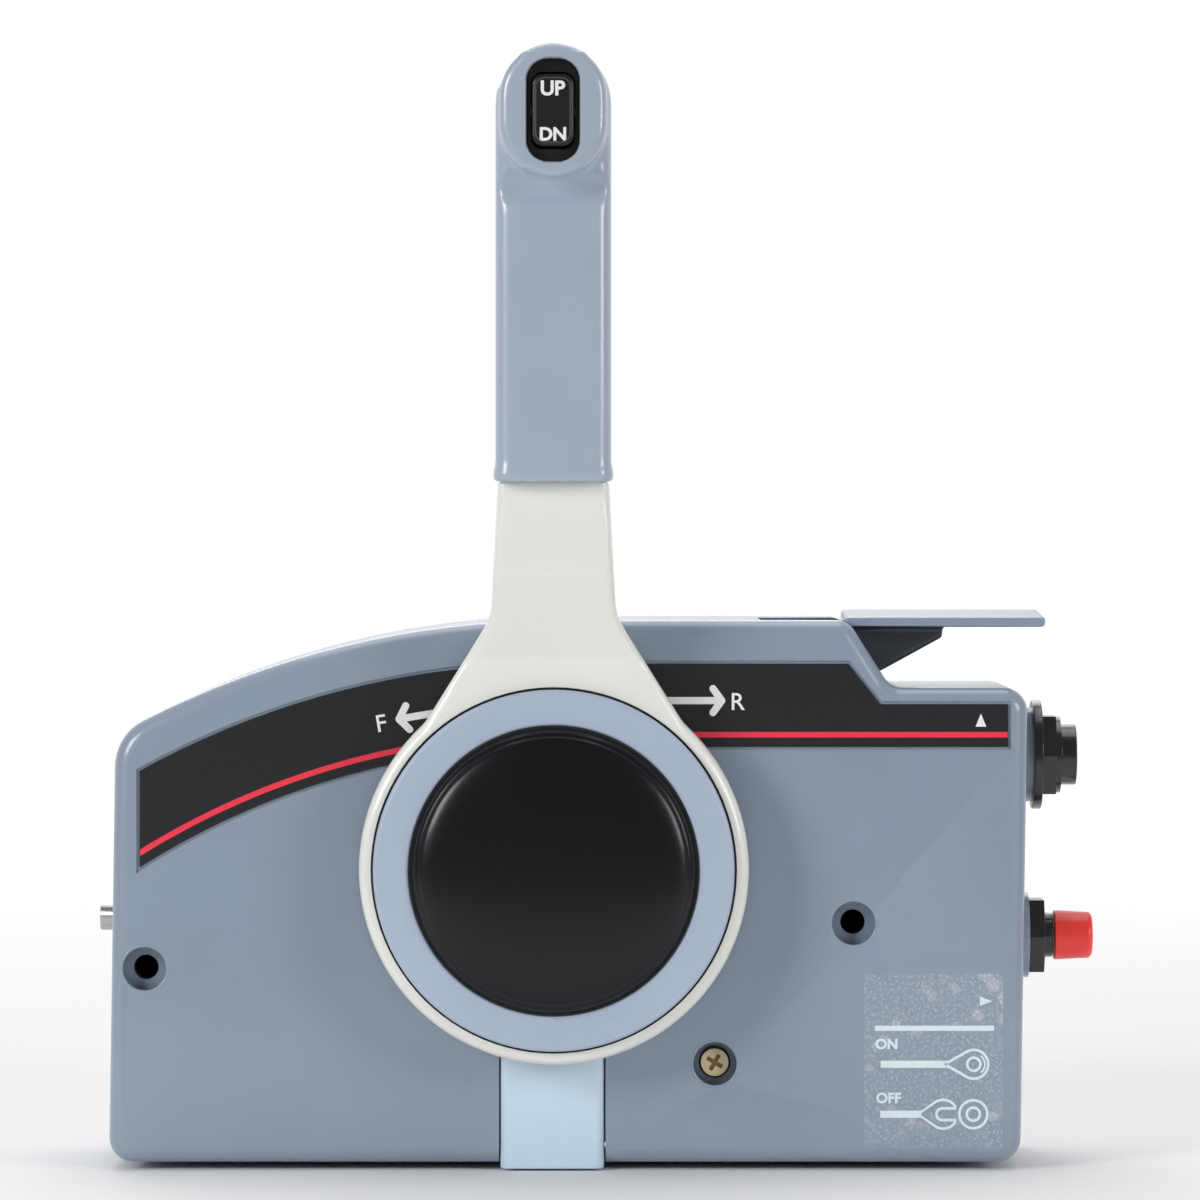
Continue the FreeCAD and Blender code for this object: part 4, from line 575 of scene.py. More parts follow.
@dataclass(frozen=True)
class ClearFilm(Finish):
    """Clear film stuck on, with air trapped under it in pale specks and patches."""

    speck: float = 1.0 * MM
    patch: float = 5.2 * MM
    tint: float = 0.05
    corner: Point = (98 * MM, -26 * MM)
    crowd: float = 17 * MM

    def build(self, shader: Shader) -> bpy.types.Material:
        """Thin veil with specks all over it, and patches that crowd its upper right corner.

        Args:
            shader: Shader of the new material.

        Returns:
            The material.
        """
        across, _, up = shader.along()
        away = (across - self.corner[0]).hypot(up - self.corner[1])
        crowded = (1.0 - away / self.crowd).clamped()
        uneven = (shader.noise(2.5 * MM, 1.0) * 2.8 - 0.7).clamped()
        specks = (1.9 - shader.bubbles(self.speck) * 6.0).clamped() * uneven
        wobble = (shader.noise(1.6 * MM, 2.0) - 0.5) * 0.4
        patches = (2.4 + crowded * 1.2 - (shader.bubbles(self.patch) + wobble) * 10.0).clamped()
        chosen = (shader.noise(9 * MM, 0.0) * 8.0 - 3.9 + crowded * 3.0).clamped()
        air = (specks * 0.42 + patches * chosen * 0.34).clamped()
        return shader.finish(
            Base_Color=self.colour,
            Alpha=(self.tint + air).clamped(),
            Roughness=self.roughness,
            Normal=shader.relief(air, 0.003 * MM),
        )


class Palette:
    """Every finish on the control box."""

    BRASS_FACE = -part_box("case_screw")[0][1] - 0.15 * MM
    SLEEVE_MOUTH = -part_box("mounting_sleeves")[0][1]
    HOUSING = Moulded(
        "housing_grained_plastic", linear(142, 156, 174), 0.36, coat=0.6, coat_roughness=0.13,
    )
    COVER = Moulded("cover_grained_plastic", linear(104, 113, 126), 0.55)
    STRIP = Gloss("strip_polished_plastic", linear(206, 226, 242), 0.16)
    BAND = Moulded(
        "band_satin_film", linear(24, 25, 29), 0.40, grain=0.2 * MM, grain_depth=0.004 * MM,
    )
    LEVER = Painted("lever_cream_paint", linear(245, 245, 239), 0.34, chipped=0.1)
    GRIP = Moulded(
        "grip_satin_plastic", linear(172, 183, 200), 0.32, grain=0.5 * MM, grain_depth=0.005 * MM,
        coat=0.6, coat_roughness=0.12,
    )
    RING = Moulded(
        "ring_satin_plastic", linear(176, 190, 211), 0.40, grain=0.3 * MM, grain_depth=0.006 * MM,
    )
    CAP = Gloss("cap_black_lacquer", linear(11, 12, 16), 0.24, coat=0.12, coat_roughness=0.12, shine=0.3)
    # Black rings that stand for shade in narrow gaps: painted shadow.
    PAINTED_SHADOW = Moulded("shadow_gap_plastic", linear(14, 14, 16), 0.8)
    # The web under the thumb plate gets painted shade.
    IDLE = Painted("fast_idle_paint", linear(142, 156, 177), 0.36, shade_painted_below=53.2 * MM)
    ROCKER = Moulded(
        "rocker_black_plastic", linear(24, 24, 25), 0.34, grain=0.25 * MM, grain_depth=0.004 * MM,
    )
    # Painted highlight: the rocker's raised border is lighter grey than the black cap.
    ROCKER_BORDER_HIGHLIGHT = Moulded("rocker_border_plastic", linear(78, 80, 84), 0.3)
    TRIGGER = Moulded("trigger_black_plastic", linear(34, 35, 38), 0.45)
    BLACK_METAL = Painted(
        "black_plated_metal", linear(26, 26, 28), 0.26, bare=linear(150, 150, 150), chipped=0.15,
    )
    RED = Gloss("red_soft_cap", linear(255, 62, 58), 0.36, coat=0.2, coat_roughness=0.2)
    RUBBER = Moulded("black_rubber", linear(30, 30, 31), 0.75)
    STEEL = Metal("turned_steel", linear(200, 201, 203), 0.26, lay=Lay.ROUND)
    DRAWN_STEEL = Metal("drawn_steel", linear(190, 191, 194), 0.24, lay=Lay.ALONG_DEPTH)
    BORE = Bore("threaded_bore", linear(190, 192, 196), 0.3, mouth=SLEEVE_MOUTH)
    # The cross recess of the screw head gets painted shade.
    BRASS = Metal("yellow_plated_screw", linear(255, 232, 184), 0.34, metallic=0.0, recess_shade_from=BRASS_FACE)
    BRONZE = Metal("sintered_bronze", linear(176, 138, 92), 0.42)
    WHITE_INK = Ink("white_ink", linear(252, 253, 255), 0.4)
    RED_INK = Ink("red_ink", linear(250, 58, 80), 0.35)
    LABEL_INK = Ink("pale_label_ink", linear(234, 247, 255), 0.4)
    FILM = ClearFilm("clear_label_film", linear(222, 228, 236), 0.22)


class Form:
    """A mesh in the making, placed where it belongs on the control box.

    Attributes:
        MERGE: Distance within which points become one.
        FLAT: Angle up to which neighbouring faces become one, in degrees.
    """

    MERGE = 0.001 * MM
    FLAT = 0.6

    def __init__(self) -> None:
        """Start with nothing."""
        self.mesh: BMesh = bmesh.new()

    @classmethod
    def of_node(cls, *nodes: str) -> "Form":
        """Copy the frame's solids, with their loose triangles merged into whole faces.

        Args:
            nodes: Names of the solids.

        Returns:
            One form with all of them.
        """
        form = cls()
        for node in nodes:
            form.mesh.from_mesh(frame["nodes"][node].data)
        form.merged()
        bmesh.ops.dissolve_limit(
            form.mesh, angle_limit=math.radians(cls.FLAT), verts=form.mesh.verts, edges=form.mesh.edges,
        )
        return form

    @classmethod
    def slab(cls, outline: Sequence[Point], back: float, front: float) -> "Form":
        """Flat plate that faces the front.

        Args:
            outline: Its (x, z) corners in turn.
            back: Depth of its back.
            front: Depth of its face.

        Returns:
            The plate.
        """
        form = cls()
        corners = [form.mesh.verts.new((x, -back, z)) for x, z in outline]
        face = form.mesh.faces.new(corners)
        raised = bmesh.ops.extrude_face_region(form.mesh, geom=[face])["geom"]
        verts = [item for item in raised if isinstance(item, BMVert)]
        bmesh.ops.translate(form.mesh, verts=verts, vec=(0.0, back - front, 0.0))
        return form.outward()

    @classmethod
    def turned(cls, profile: Sequence[Point], centre: Point, depth: float, steps: int = 96) -> "Form":
        """Turn a profile into a round piece that faces the front.

        Args:
            profile: (radius, height towards the front) points, from the axis or back to the start.
            centre: (x, z) of the axis.
            depth: Depth of height 0.
            steps: Number of facets round it.

        Returns:
            The round piece.
        """
        form = cls()
        foot = Vector((centre[0], -depth, centre[1]))
        side = Vector((0.0, 0.0, 1.0))
        verts = [form.mesh.verts.new(foot + side * radius + FRONT * height) for radius, height in profile]
        edges = [form.mesh.edges.new(pair) for pair in zip(verts, verts[1:])]
        if profile[0][0] > 0 and profile[-1][0] > 0:
            edges.append(form.mesh.edges.new((verts[-1], verts[0])))
        bmesh.ops.spin(
            form.mesh, geom=verts + edges, cent=foot, axis=FRONT, angle=math.tau, steps=steps,
            use_merge=True,
        )
        return form.merged().outward()

    @classmethod
    def washer(cls, inner: float, outer: float, thick: float, centre: Point, depth: float) -> "Form":
        """Flat ring that faces the front.

        Args:
            inner: Radius of its hole.
            outer: Radius of its rim.
            thick: Thickness.
            centre: (x, z) of its centre.
            depth: Depth of its back.

        Returns:
            The ring.
        """
        return cls.turned([(inner, 0.0), (outer, 0.0), (outer, thick), (inner, thick)], centre, depth)

    @classmethod
    def skin(cls, grain: float, *nodes: str) -> "Form":
        """Copy solids as one even skin of small faces.

        Args:
            grain: Distance between the skin's points.
            nodes: Names of the solids.

        Returns:
            The skin.
        """
        solid = cls.of_node(*nodes).finished("skin")
        carved(solid, "REMESH", mode="VOXEL", voxel_size=grain)
        form = cls()
        form.mesh.from_mesh(solid.data)
        discard(solid)
        form.mesh.normal_update()
        return form

    def softened(self, rounds: int, picked: Callable[[BMVert], bool] = lambda vertex: True) -> "Form":
        """Melt edges and folds.

        Args:
            rounds: How often each point moves half way towards its neighbours.
            picked: Test that keeps only the points that move.

        Returns:
            The form itself.
        """
        moving = [vertex for vertex in self.mesh.verts if picked(vertex)]
        for _ in range(rounds):
            bmesh.ops.smooth_vert(
                self.mesh, verts=moving, factor=0.5, use_axis_x=True, use_axis_y=True, use_axis_z=True,
            )
        self.mesh.normal_update()
        return self

    def merged(self, distance: float = MERGE) -> "Form":
        """Make points that lie within a distance one."""
        bmesh.ops.remove_doubles(self.mesh, verts=self.mesh.verts, dist=distance)
        return self

    def outward(self) -> "Form":
        """Point every face outwards."""
        bmesh.ops.recalc_face_normals(self.mesh, faces=self.mesh.faces)
        return self

    def joined(self, other: "Form") -> "Form":
        """Take in another form's faces.

        Args:
            other: The other form, which is used up.

        Returns:
            The form itself.
        """
        spare = bpy.data.meshes.new("spare")
        other.mesh.to_mesh(spare)
        other.mesh.free()
        self.mesh.from_mesh(spare)
        bpy.data.meshes.remove(spare)
        return self

    def finished(self, name: str, smooth: float = 35.0) -> bpy.types.Object:
        """Turn the form into an object.

        Args:
            name: Name of the piece.
            smooth: Angle up to which neighbouring faces shade as one, in degrees.

        Returns:
            The object.
        """
        mesh = bpy.data.meshes.new(name)
        self.mesh.to_mesh(mesh)
        self.mesh.free()
        mesh.shade_smooth()
        mesh.set_sharp_from_angle(angle=math.radians(smooth))
        piece = bpy.data.objects.new(name, mesh)
        bpy.context.scene.collection.objects.link(piece)
        return piece


def carved(piece: bpy.types.Object, kind: str, **settings: object) -> bpy.types.Object:
    """Run one modifier over a piece and keep the result as its mesh.

    Args:
        piece: The piece.
        kind: Type of the modifier.
        settings: The modifier's own settings.

    Returns:
        The piece.
    """
    modifier = piece.modifiers.new(kind.title(), kind)
    for name, value in settings.items():
        setattr(modifier, name, value)
    ready = piece.evaluated_get(bpy.context.evaluated_depsgraph_get())
    mesh = bpy.data.meshes.new_from_object(ready)
    piece.modifiers.clear()
    old, piece.data = piece.data, mesh
    bpy.data.meshes.remove(old)
    mesh.name = piece.name
    return piece


def discard(*pieces: bpy.types.Object) -> None:
    """Remove objects and their meshes.

    Args:
        pieces: Objects that were only tools.
    """
    for piece in pieces:
        mesh = piece.data
        bpy.data.objects.remove(piece)
        bpy.data.meshes.remove(mesh)


def arc(centre: Point, radius: float, start: float, end: float, steps: int = 12) -> list[Point]:
    """Points along an arc.

    Args:
        centre: Its centre.
        radius: Its radius.
        start: Angle of its first point, in degrees.
        end: Angle of its last point, in degrees.
        steps: Number of stretches.

    Returns:
        The points.
    """
    angles = [math.radians(start + (end - start) * step / steps) for step in range(steps + 1)]
    return [(centre[0] + radius * math.cos(angle), centre[1] + radius * math.sin(angle)) for angle in angles]


def rounded(half_x: float, half_z: float, corner: float, centre: Point = (0.0, 0.0)) -> list[Point]:
    """Outline of a rectangle with round corners.

    Args:
        half_x: Half its width.
        half_z: Half its height.
        corner: Radius of its corners.
        centre: Its centre.

    Returns:
        The outline's points, counter-clockwise.
    """
    points: list[Point] = []
    for turn, (side_x, side_z) in enumerate(((1, 1), (-1, 1), (-1, -1), (1, -1))):
        middle = (centre[0] + side_x * (half_x - corner), centre[1] + side_z * (half_z - corner))
        points += arc(middle, corner, turn * 90.0, turn * 90.0 + 90.0, 8)
    return points


def box_round(points: Sequence[Vector]) -> tuple[list[float], list[float]]:
    """Lowest and highest corner of the box round some points."""
    return [min(numbers) for numbers in zip(*points)], [max(numbers) for numbers in zip(*points)]


def centre_of(low: Sequence[float], high: Sequence[float]) -> Point:
    """Centre of a box as seen from the front, from its lowest and highest corner."""
    return (low[0] + high[0]) / 2, (low[2] + high[2]) / 2


def radius_of(low: Sequence[float], high: Sequence[float]) -> float:
    """Radius of the round piece that fills a box, from its lowest and highest corner."""
    return (high[0] - low[0]) / 2


class Assembly:
    """Pieces that belong together and ride on one body."""

    body: Body = Body.HOUSING

    def keep(self, piece: bpy.types.Object, finish: Finish, slot: Slot, replaces: Sequence[str] = (),
             body: Optional[Body] = None) -> bpy.types.Object:
        """Dress a new piece and hand it to its body.

        Args:
            piece: The piece, in its place.
            finish: How it looks.
            slot: Slot of the record for its finish; not used.
            replaces: Solids of the frame that it stands for.
            body: Body that it rides on, if not the assembly's own.

        Returns:
            The piece.
        """
        piece.data.materials.clear()
        piece.data.materials.append(finish.material())
        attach(piece, (body or self.body).value)
        if replaces:
            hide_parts(*replaces)
        log.info("%s: %d faces, %s", piece.name, len(piece.data.polygons), finish.name)
        return piece

    def smooth_copy(self, node: str, name: str, finish: Finish, slot: Slot, edge: float = 0.25 * MM,
                    body: Optional[Body] = None) -> bpy.types.Object:
        """Stand a copy with eased edges in for one of the frame's solids."""
        piece = self.ease(Form.of_node(node).finished(name), edge)
        return self.keep(piece, finish, slot, (node,), body)

    def soft_copy(self, node: str, name: str, finish: Finish, slot: Slot, grain: float = 0.4 * MM,
                  rounds: int = 8) -> bpy.types.Object:
        """Stand a copy with melted edges in for one of the frame's solids."""
        piece = Form.skin(grain, node).softened(rounds).finished(name, 60)
        return self.keep(piece, finish, slot, (node,))

    @staticmethod
    def ease(piece: bpy.types.Object, edge: float) -> bpy.types.Object:
        """Round a piece's sharp edges.

        Args:
            piece: The piece.
            edge: Width of the rounding.

        Returns:
            The piece.
        """
        modifier = piece.modifiers.new("Eased edges", "BEVEL")
        modifier.width = edge
        modifier.segments = 2
        modifier.limit_method = "ANGLE"
        modifier.angle_limit = math.radians(30)
        modifier.harden_normals = True
        return piece

    def dress(self, finish: Finish, *nodes: str) -> None:
        """Give solids of the frame their finish, as they are.

        Args:
            finish: How they look.
            nodes: Names of the solids.
        """
        for node in nodes:
            for slot in frame["nodes"][node].material_slots:
                slot.material = finish.material()
            log.info("%s: solid kept, %s", node, finish.name)


@dataclass
class Mechanism(Assembly):
    """Solids inside the box, which show only through its openings."""

    def build(self) -> None:
        """Give each solid the finish of its own material."""
        self.dress(
            Palette.STEEL, "neutral_plate", "neutral_plate_screws", "neutral_switch_screws",
            "shift_post", "throttle_post", "post_rings", "shaft_bolt", "shaft_washer", "main_shaft",
            "drive_gear", "shift_sector", "shift_cable_joint", "throttle_cam", "friction_disc",
            "throttle_arm", "throttle_cable_joint", "lock_rod", "rocker_pin", "grip_screws",
            "stop_plunger", "fast_idle_cam",
        )
        self.dress(Palette.BORE, "mounting_sleeves")
        self.dress(Palette.BRONZE, "rear_bush", "front_bush")
        self.dress(Palette.TRIGGER, "neutral_switch", "friction_pad")


@dataclass
class Housing(Assembly):
    """Moulded box with its back cover, screws and grommet."""

    edge: float = 0.3 * MM
    gap: float = 0.4 * MM
    cross_turn: float = 30.0
    # Thickness and depth of the black sheets of painted shade in the mounting holes.
    shade_sheet: float = 0.5 * MM
    shade_sheet_depth: float = 4 * MM
    lip: float = 0.3 * MM
    lip_rise: float = 0.06 * MM

    def build(self) -> None:
        """Dress the shells and the fasteners that show."""
        self.smooth_copy("front_housing", "housing_shell", Palette.HOUSING, Slot.HOUSING, self.edge)
        self.smooth_copy("back_cover", "housing_back", Palette.COVER, Slot.COVER, self.edge)
        self.turn_screw()
        self.smooth_copy("cover_screws", "back_cover_screws", Palette.STEEL, Slot.STEEL, 0.1 * MM)
        self.smooth_copy("harness_grommet", "wiring_grommet", Palette.RUBBER, Slot.RUBBER, 0.4 * MM)
        self.soft_copy("lower_trim_cover", "lower_strip", Palette.STRIP, Slot.STRIP)
        self.lay_shade_sheets()
        self.turn_lips()

    def turn_screw(self) -> None:
        """Case screw, its cross turned as the driver left it, ringed by a black ring of painted shadow."""
        low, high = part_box("case_screw")
        centre = centre_of(low, high)
        form = Form.of_node("case_screw")
        turn = Matrix.Rotation(math.radians(self.cross_turn), 3, "Y")
        bmesh.ops.rotate(form.mesh, verts=form.mesh.verts, cent=(centre[0], 0.0, centre[1]), matrix=turn)
        screw = self.ease(form.finished("brass_case_screw"), 0.12 * MM)
        self.keep(screw, Palette.BRASS, Slot.BRASS, ("case_screw",))
        radius = radius_of(low, high)
        depth = -low[1] - 1.8 * MM
        # Painted shadow: a black ring round the head stands for the shade between it and its counterbore.
        shadow_ring = Form.washer(radius - 0.3 * MM, radius + self.gap, 1.4 * MM, centre, depth)
        self.keep(shadow_ring.finished("case_screw_seat"), Palette.PAINTED_SHADOW, Slot.BLACK)

    @staticmethod
    def sleeves() -> list[tuple[Point, float]]:
        """Find the sleeves in the mounting holes.

        Returns:
            Centre and outer radius of each.
        """
        mesh = frame["nodes"]["mounting_sleeves"].data
        found = []
        for side in (-1, 1):
            box = box_round([vertex.co for vertex in mesh.vertices if vertex.co.x * side > 0])
            found.append((centre_of(*box), radius_of(*box)))
        return found

    def lay_shade_sheets(self) -> None:
        """Black sheet across each mounting hole close to its back: painted shade that keeps the holes dark.
        """
        shade_sheets = Form()
        for centre, reach in self.sleeves():
            radius = reach - 0.3 * MM
            profile = [(0.0, 0.0), (radius, 0.0), (radius, self.shade_sheet), (0.0, self.shade_sheet)]
            shade_sheets.joined(Form.turned(profile, centre, self.shade_sheet_depth, 32))
        self.keep(shade_sheets.finished("hole_membranes"), Palette.RUBBER, Slot.RUBBER)

    def turn_lips(self) -> None:
        """Slightly raised moulded lips round the sunk screw and the mounting holes."""
        screw = centre_of(*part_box("case_screw"))
        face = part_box("front_housing")[0][1]
        mesh = frame["nodes"]["front_housing"].data
        on_face = [vertex.co for vertex in mesh.vertices if abs(vertex.co.y - face) < 0.01 * MM]
        lip, rise = self.lip, self.lip_rise
        lips = Form()
        for centre in [centre for centre, _ in self.sleeves()] + [screw]:
            radius = min(math.hypot(place.x - centre[0], place.z - centre[1]) for place in on_face)
            section = (
                (-lip, -lip * 2), (-lip, -lip * 0.4), (-lip * 0.4, rise), (lip * 0.6, rise), (lip, 0.0),
                (lip, -lip * 2),
            )
            profile = [(radius + across, height) for across, height in section]
            lips.joined(Form.turned(profile, centre, -face))
        self.keep(lips.finished("counterbore_lips", 80), Palette.HOUSING, Slot.HOUSING)


class Letter:
    """Words and marks printed on the box, raised by the thickness of the ink.

    Attributes:
        INK: Thickness of the ink.
        CAPITAL: Height of a capital in a font of size 1.
        MERGE: Distance within which a word's points become one.
    """

    INK = 0.04 * MM
    CAPITAL = 0.7
    MERGE = 0.0005 * MM

    @classmethod
    def words(cls, text: str, height: float, centre: Point, depth: float, bold: float = 0.0,
              turn: float = 0.0) -> Form:
        """Print a word.

        Args:
            text: The word.
            height: Height of its capitals.
            centre: Its centre, as (x, z).
            depth: Depth of the face that it is printed on.
            bold: How much wider each stroke is on each side.
            turn: How far it is turned, in degrees.

        Returns:
            The raised ink.
        """
        curve = bpy.data.curves.new(text, "FONT")
        curve.body = text
        curve.align_x = "CENTER"
        curve.align_y = "CENTER"
        curve.size = height / cls.CAPITAL
        curve.offset = bold
        curve.extrude = cls.INK / 2
        curve.resolution_u = 4
        word = bpy.data.objects.new(text, curve)
        bpy.context.scene.collection.objects.link(word)
        ready = word.evaluated_get(bpy.context.evaluated_depsgraph_get())
        mesh = bpy.data.meshes.new_from_object(ready)
        low, high = box_round([vertex.co for vertex in mesh.vertices])
        form = Form()
        form.mesh.from_mesh(mesh)
        middle = Vector(((low[0] + high[0]) / 2, (low[1] + high[1]) / 2, 0.0))
        place = (
            Matrix.Translation((centre[0], -depth - cls.INK / 2, centre[1]))
            @ Matrix.Rotation(-math.radians(turn), 4, "Y")
            @ Matrix.Rotation(math.radians(90), 4, "X")
            @ Matrix.Translation(-middle)
        )
        bmesh.ops.transform(form.mesh, matrix=place, verts=form.mesh.verts)
        bpy.data.objects.remove(word)
        bpy.data.curves.remove(curve)
        bpy.data.meshes.remove(mesh)
        return form.merged(cls.MERGE)

    @classmethod
    def patch(cls, outline: Sequence[Point], depth: float, layer: int = 0) -> Form:
        """Print a filled outline, a little higher for each layer of ink under it."""
        return Form.slab(outline, depth, depth + cls.INK * (1 + layer / 4))

    @classmethod
    def stroke(cls, start: Point, end: Point, wide: float, depth: float, layer: int = 0) -> Form:
        """Print a straight stroke with round ends.

        Args:
            start: Middle of its first end.
            end: Middle of its other end.
            wide: Its width.
            depth: Depth of the face that it is printed on.
            layer: Layers of ink under it.

        Returns:
            The raised ink.
        """
        angle = math.degrees(math.atan2(end[1] - start[1], end[0] - start[0]))
        last = arc(end, wide / 2, angle - 90, angle + 90, 8)
        first = arc(start, wide / 2, angle + 90, angle + 270, 8)
        return cls.patch(last + first, depth, layer)

    @classmethod
    def ribbon(cls, path: Sequence[Point], wide: float, depth: float, layer: int = 0) -> Form:
        """Print a line of even width.

        Args:
            path: Its (x, z) points.
            wide: Its width.
            depth: Depth of the face that it is printed on.
            layer: Layers of ink under it.

        Returns:
            The raised ink.
        """
        sides: tuple[list[Point], list[Point]] = ([], [])
        for number, here in enumerate(path):
            before, after = path[max(number - 1, 0)], path[min(number + 1, len(path) - 1)]
            reach = wide / 2 / math.dist(before, after)
            across = ((before[1] - after[1]) * reach, (after[0] - before[0]) * reach)
            sides[0].append((here[0] + across[0], here[1] + across[1]))
            sides[1].append((here[0] - across[0], here[1] - across[1]))
        return cls.patch(sides[1] + sides[0][::-1], depth, layer)

    @classmethod
    def ring(cls, centre: Point, radius: float, wide: float, depth: float) -> Form:
        """Print a ring."""
        return Form.washer(radius - wide, radius, cls.INK, centre, depth)

    @classmethod
    def arrow(cls, tail: Point, tip: Point, wide: float, head: float, depth: float) -> Form:
        """Print an open arrow, whose head is two strokes.

        Args:
            tail: Where it starts.
            tip: Where it points.
            wide: Width of its strokes.
            head: Length of the head's strokes.
            depth: Depth of the face that it is printed on.

        Returns:
            The raised ink.
        """
        form = cls.stroke(tail, tip, wide, depth)
        back = math.atan2(tail[1] - tip[1], tail[0] - tip[0])
        for side in (-1, 1):
            angle = back + side * math.radians(54)
            end = (tip[0] + head * math.cos(angle), tip[1] + head * math.sin(angle))
            form.joined(cls.stroke(tip, end, wide, depth, 2 + side))
        return form


@dataclass
class LegendBand(Assembly):
    """Curved black band with its red line and the marks for forward and reverse.

    Attributes:
        crown: Radius of the box's crown, which the red line follows.
        line_rise: Height of the line above the band's lower edge.
        line_inset: What the line leaves free at the band's ends.
        forward: Centre of the letter for forward.
        forward_turn: How far it is turned, in degrees.
        reverse: Centre of the letter for reverse.
        arrows: Tail and tip of each arrow.
        pointer: Corners of the mark below the thumb lever.
    """

    crown: float = 200 * MM
    line_wide: float = 1.25 * MM
    line_rise: float = 2.1 * MM
    line_inset: float = 0.15 * MM
    letter: float = 3.8 * MM
    bold: float = 0.03 * MM
    stroke: float = 1.6 * MM
    head: float = 3.3 * MM
    forward: Point = (-38.4 * MM, 31.8 * MM)
    forward_turn: float = 10.0
    reverse: Point = (40.9 * MM, 36.6 * MM)
    arrows: tuple[tuple[Point, Point], ...] = (
        ((-22 * MM, 34.8 * MM), (-34.5 * MM, 32.7 * MM)),
        ((22 * MM, 36.8 * MM), (37.2 * MM, 36.8 * MM)),
    )
    pointer: tuple[Point, ...] = ((93.6 * MM, 31.0 * MM), (96.0 * MM, 31.0 * MM), (94.8 * MM, 33.9 * MM))

    def build(self) -> None:
        """Lay the band and print on it."""
        low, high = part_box("legend_plate")
        self.smooth_copy("legend_plate", "black_legend_band", Palette.BAND, Slot.BAND, 0.1 * MM)
        self.draw_line(low, high)
        self.print_marks(-low[1])

    def draw_line(self, low: Sequence[float], high: Sequence[float]) -> None:
        """Red line that runs along the band's lower edge, curved on the left and straight on the right.

        Args:
            low: Lowest corner of the band's box.
            high: Its highest corner.
        """
        level = high[2] - self.band_tall(high[0]) + self.line_rise
        radius = self.crown - (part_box("front_housing")[1][2] - level)
        centre = (0.0, level - radius)
        left, right = low[0] + self.line_inset, high[0] - self.line_inset

        def reach(arc_radius: float) -> float:
            """Angle at which an arc meets the line's left end, in degrees."""
            return math.degrees(math.acos(left / arc_radius))

        outer = radius + self.line_wide
        outline = arc(centre, radius, 90, reach(radius), 40) + arc(centre, outer, reach(outer), 90, 40)
        outline += [(right, level + self.line_wide), (right, level)]
        self.keep(Letter.patch(outline, -low[1]).finished("red_line"), Palette.RED_INK, Slot.RED)

    @staticmethod
    def band_tall(right: float) -> float:
        """Measure the band where it is straight.

        Args:
            right: X of its right end.

        Returns:
            Its height there.
        """
        places = [vertex.co for vertex in frame["nodes"]["legend_plate"].data.vertices]
        foot = min(place.z for place in places if place.x > right - 1.5 * MM)
        return max(place.z for place in places) - foot

    def print_marks(self, depth: float) -> None:
        """F and R with their arrows, and a small pointer below the thumb lever.

        Args:
            depth: Depth of the band's face.
        """
        marks = Letter.words("F", self.letter, self.forward, depth, self.bold, self.forward_turn)
        for tail, tip in self.arrows:
            marks.joined(Letter.arrow(tail, tip, self.stroke, self.head, depth))
        marks.joined(Letter.words("R", self.letter, self.reverse, depth, self.bold))
        marks.joined(Letter.patch(self.pointer, depth))
        self.keep(marks.finished("white_band_marks"), Palette.WHITE_INK, Slot.BAND)


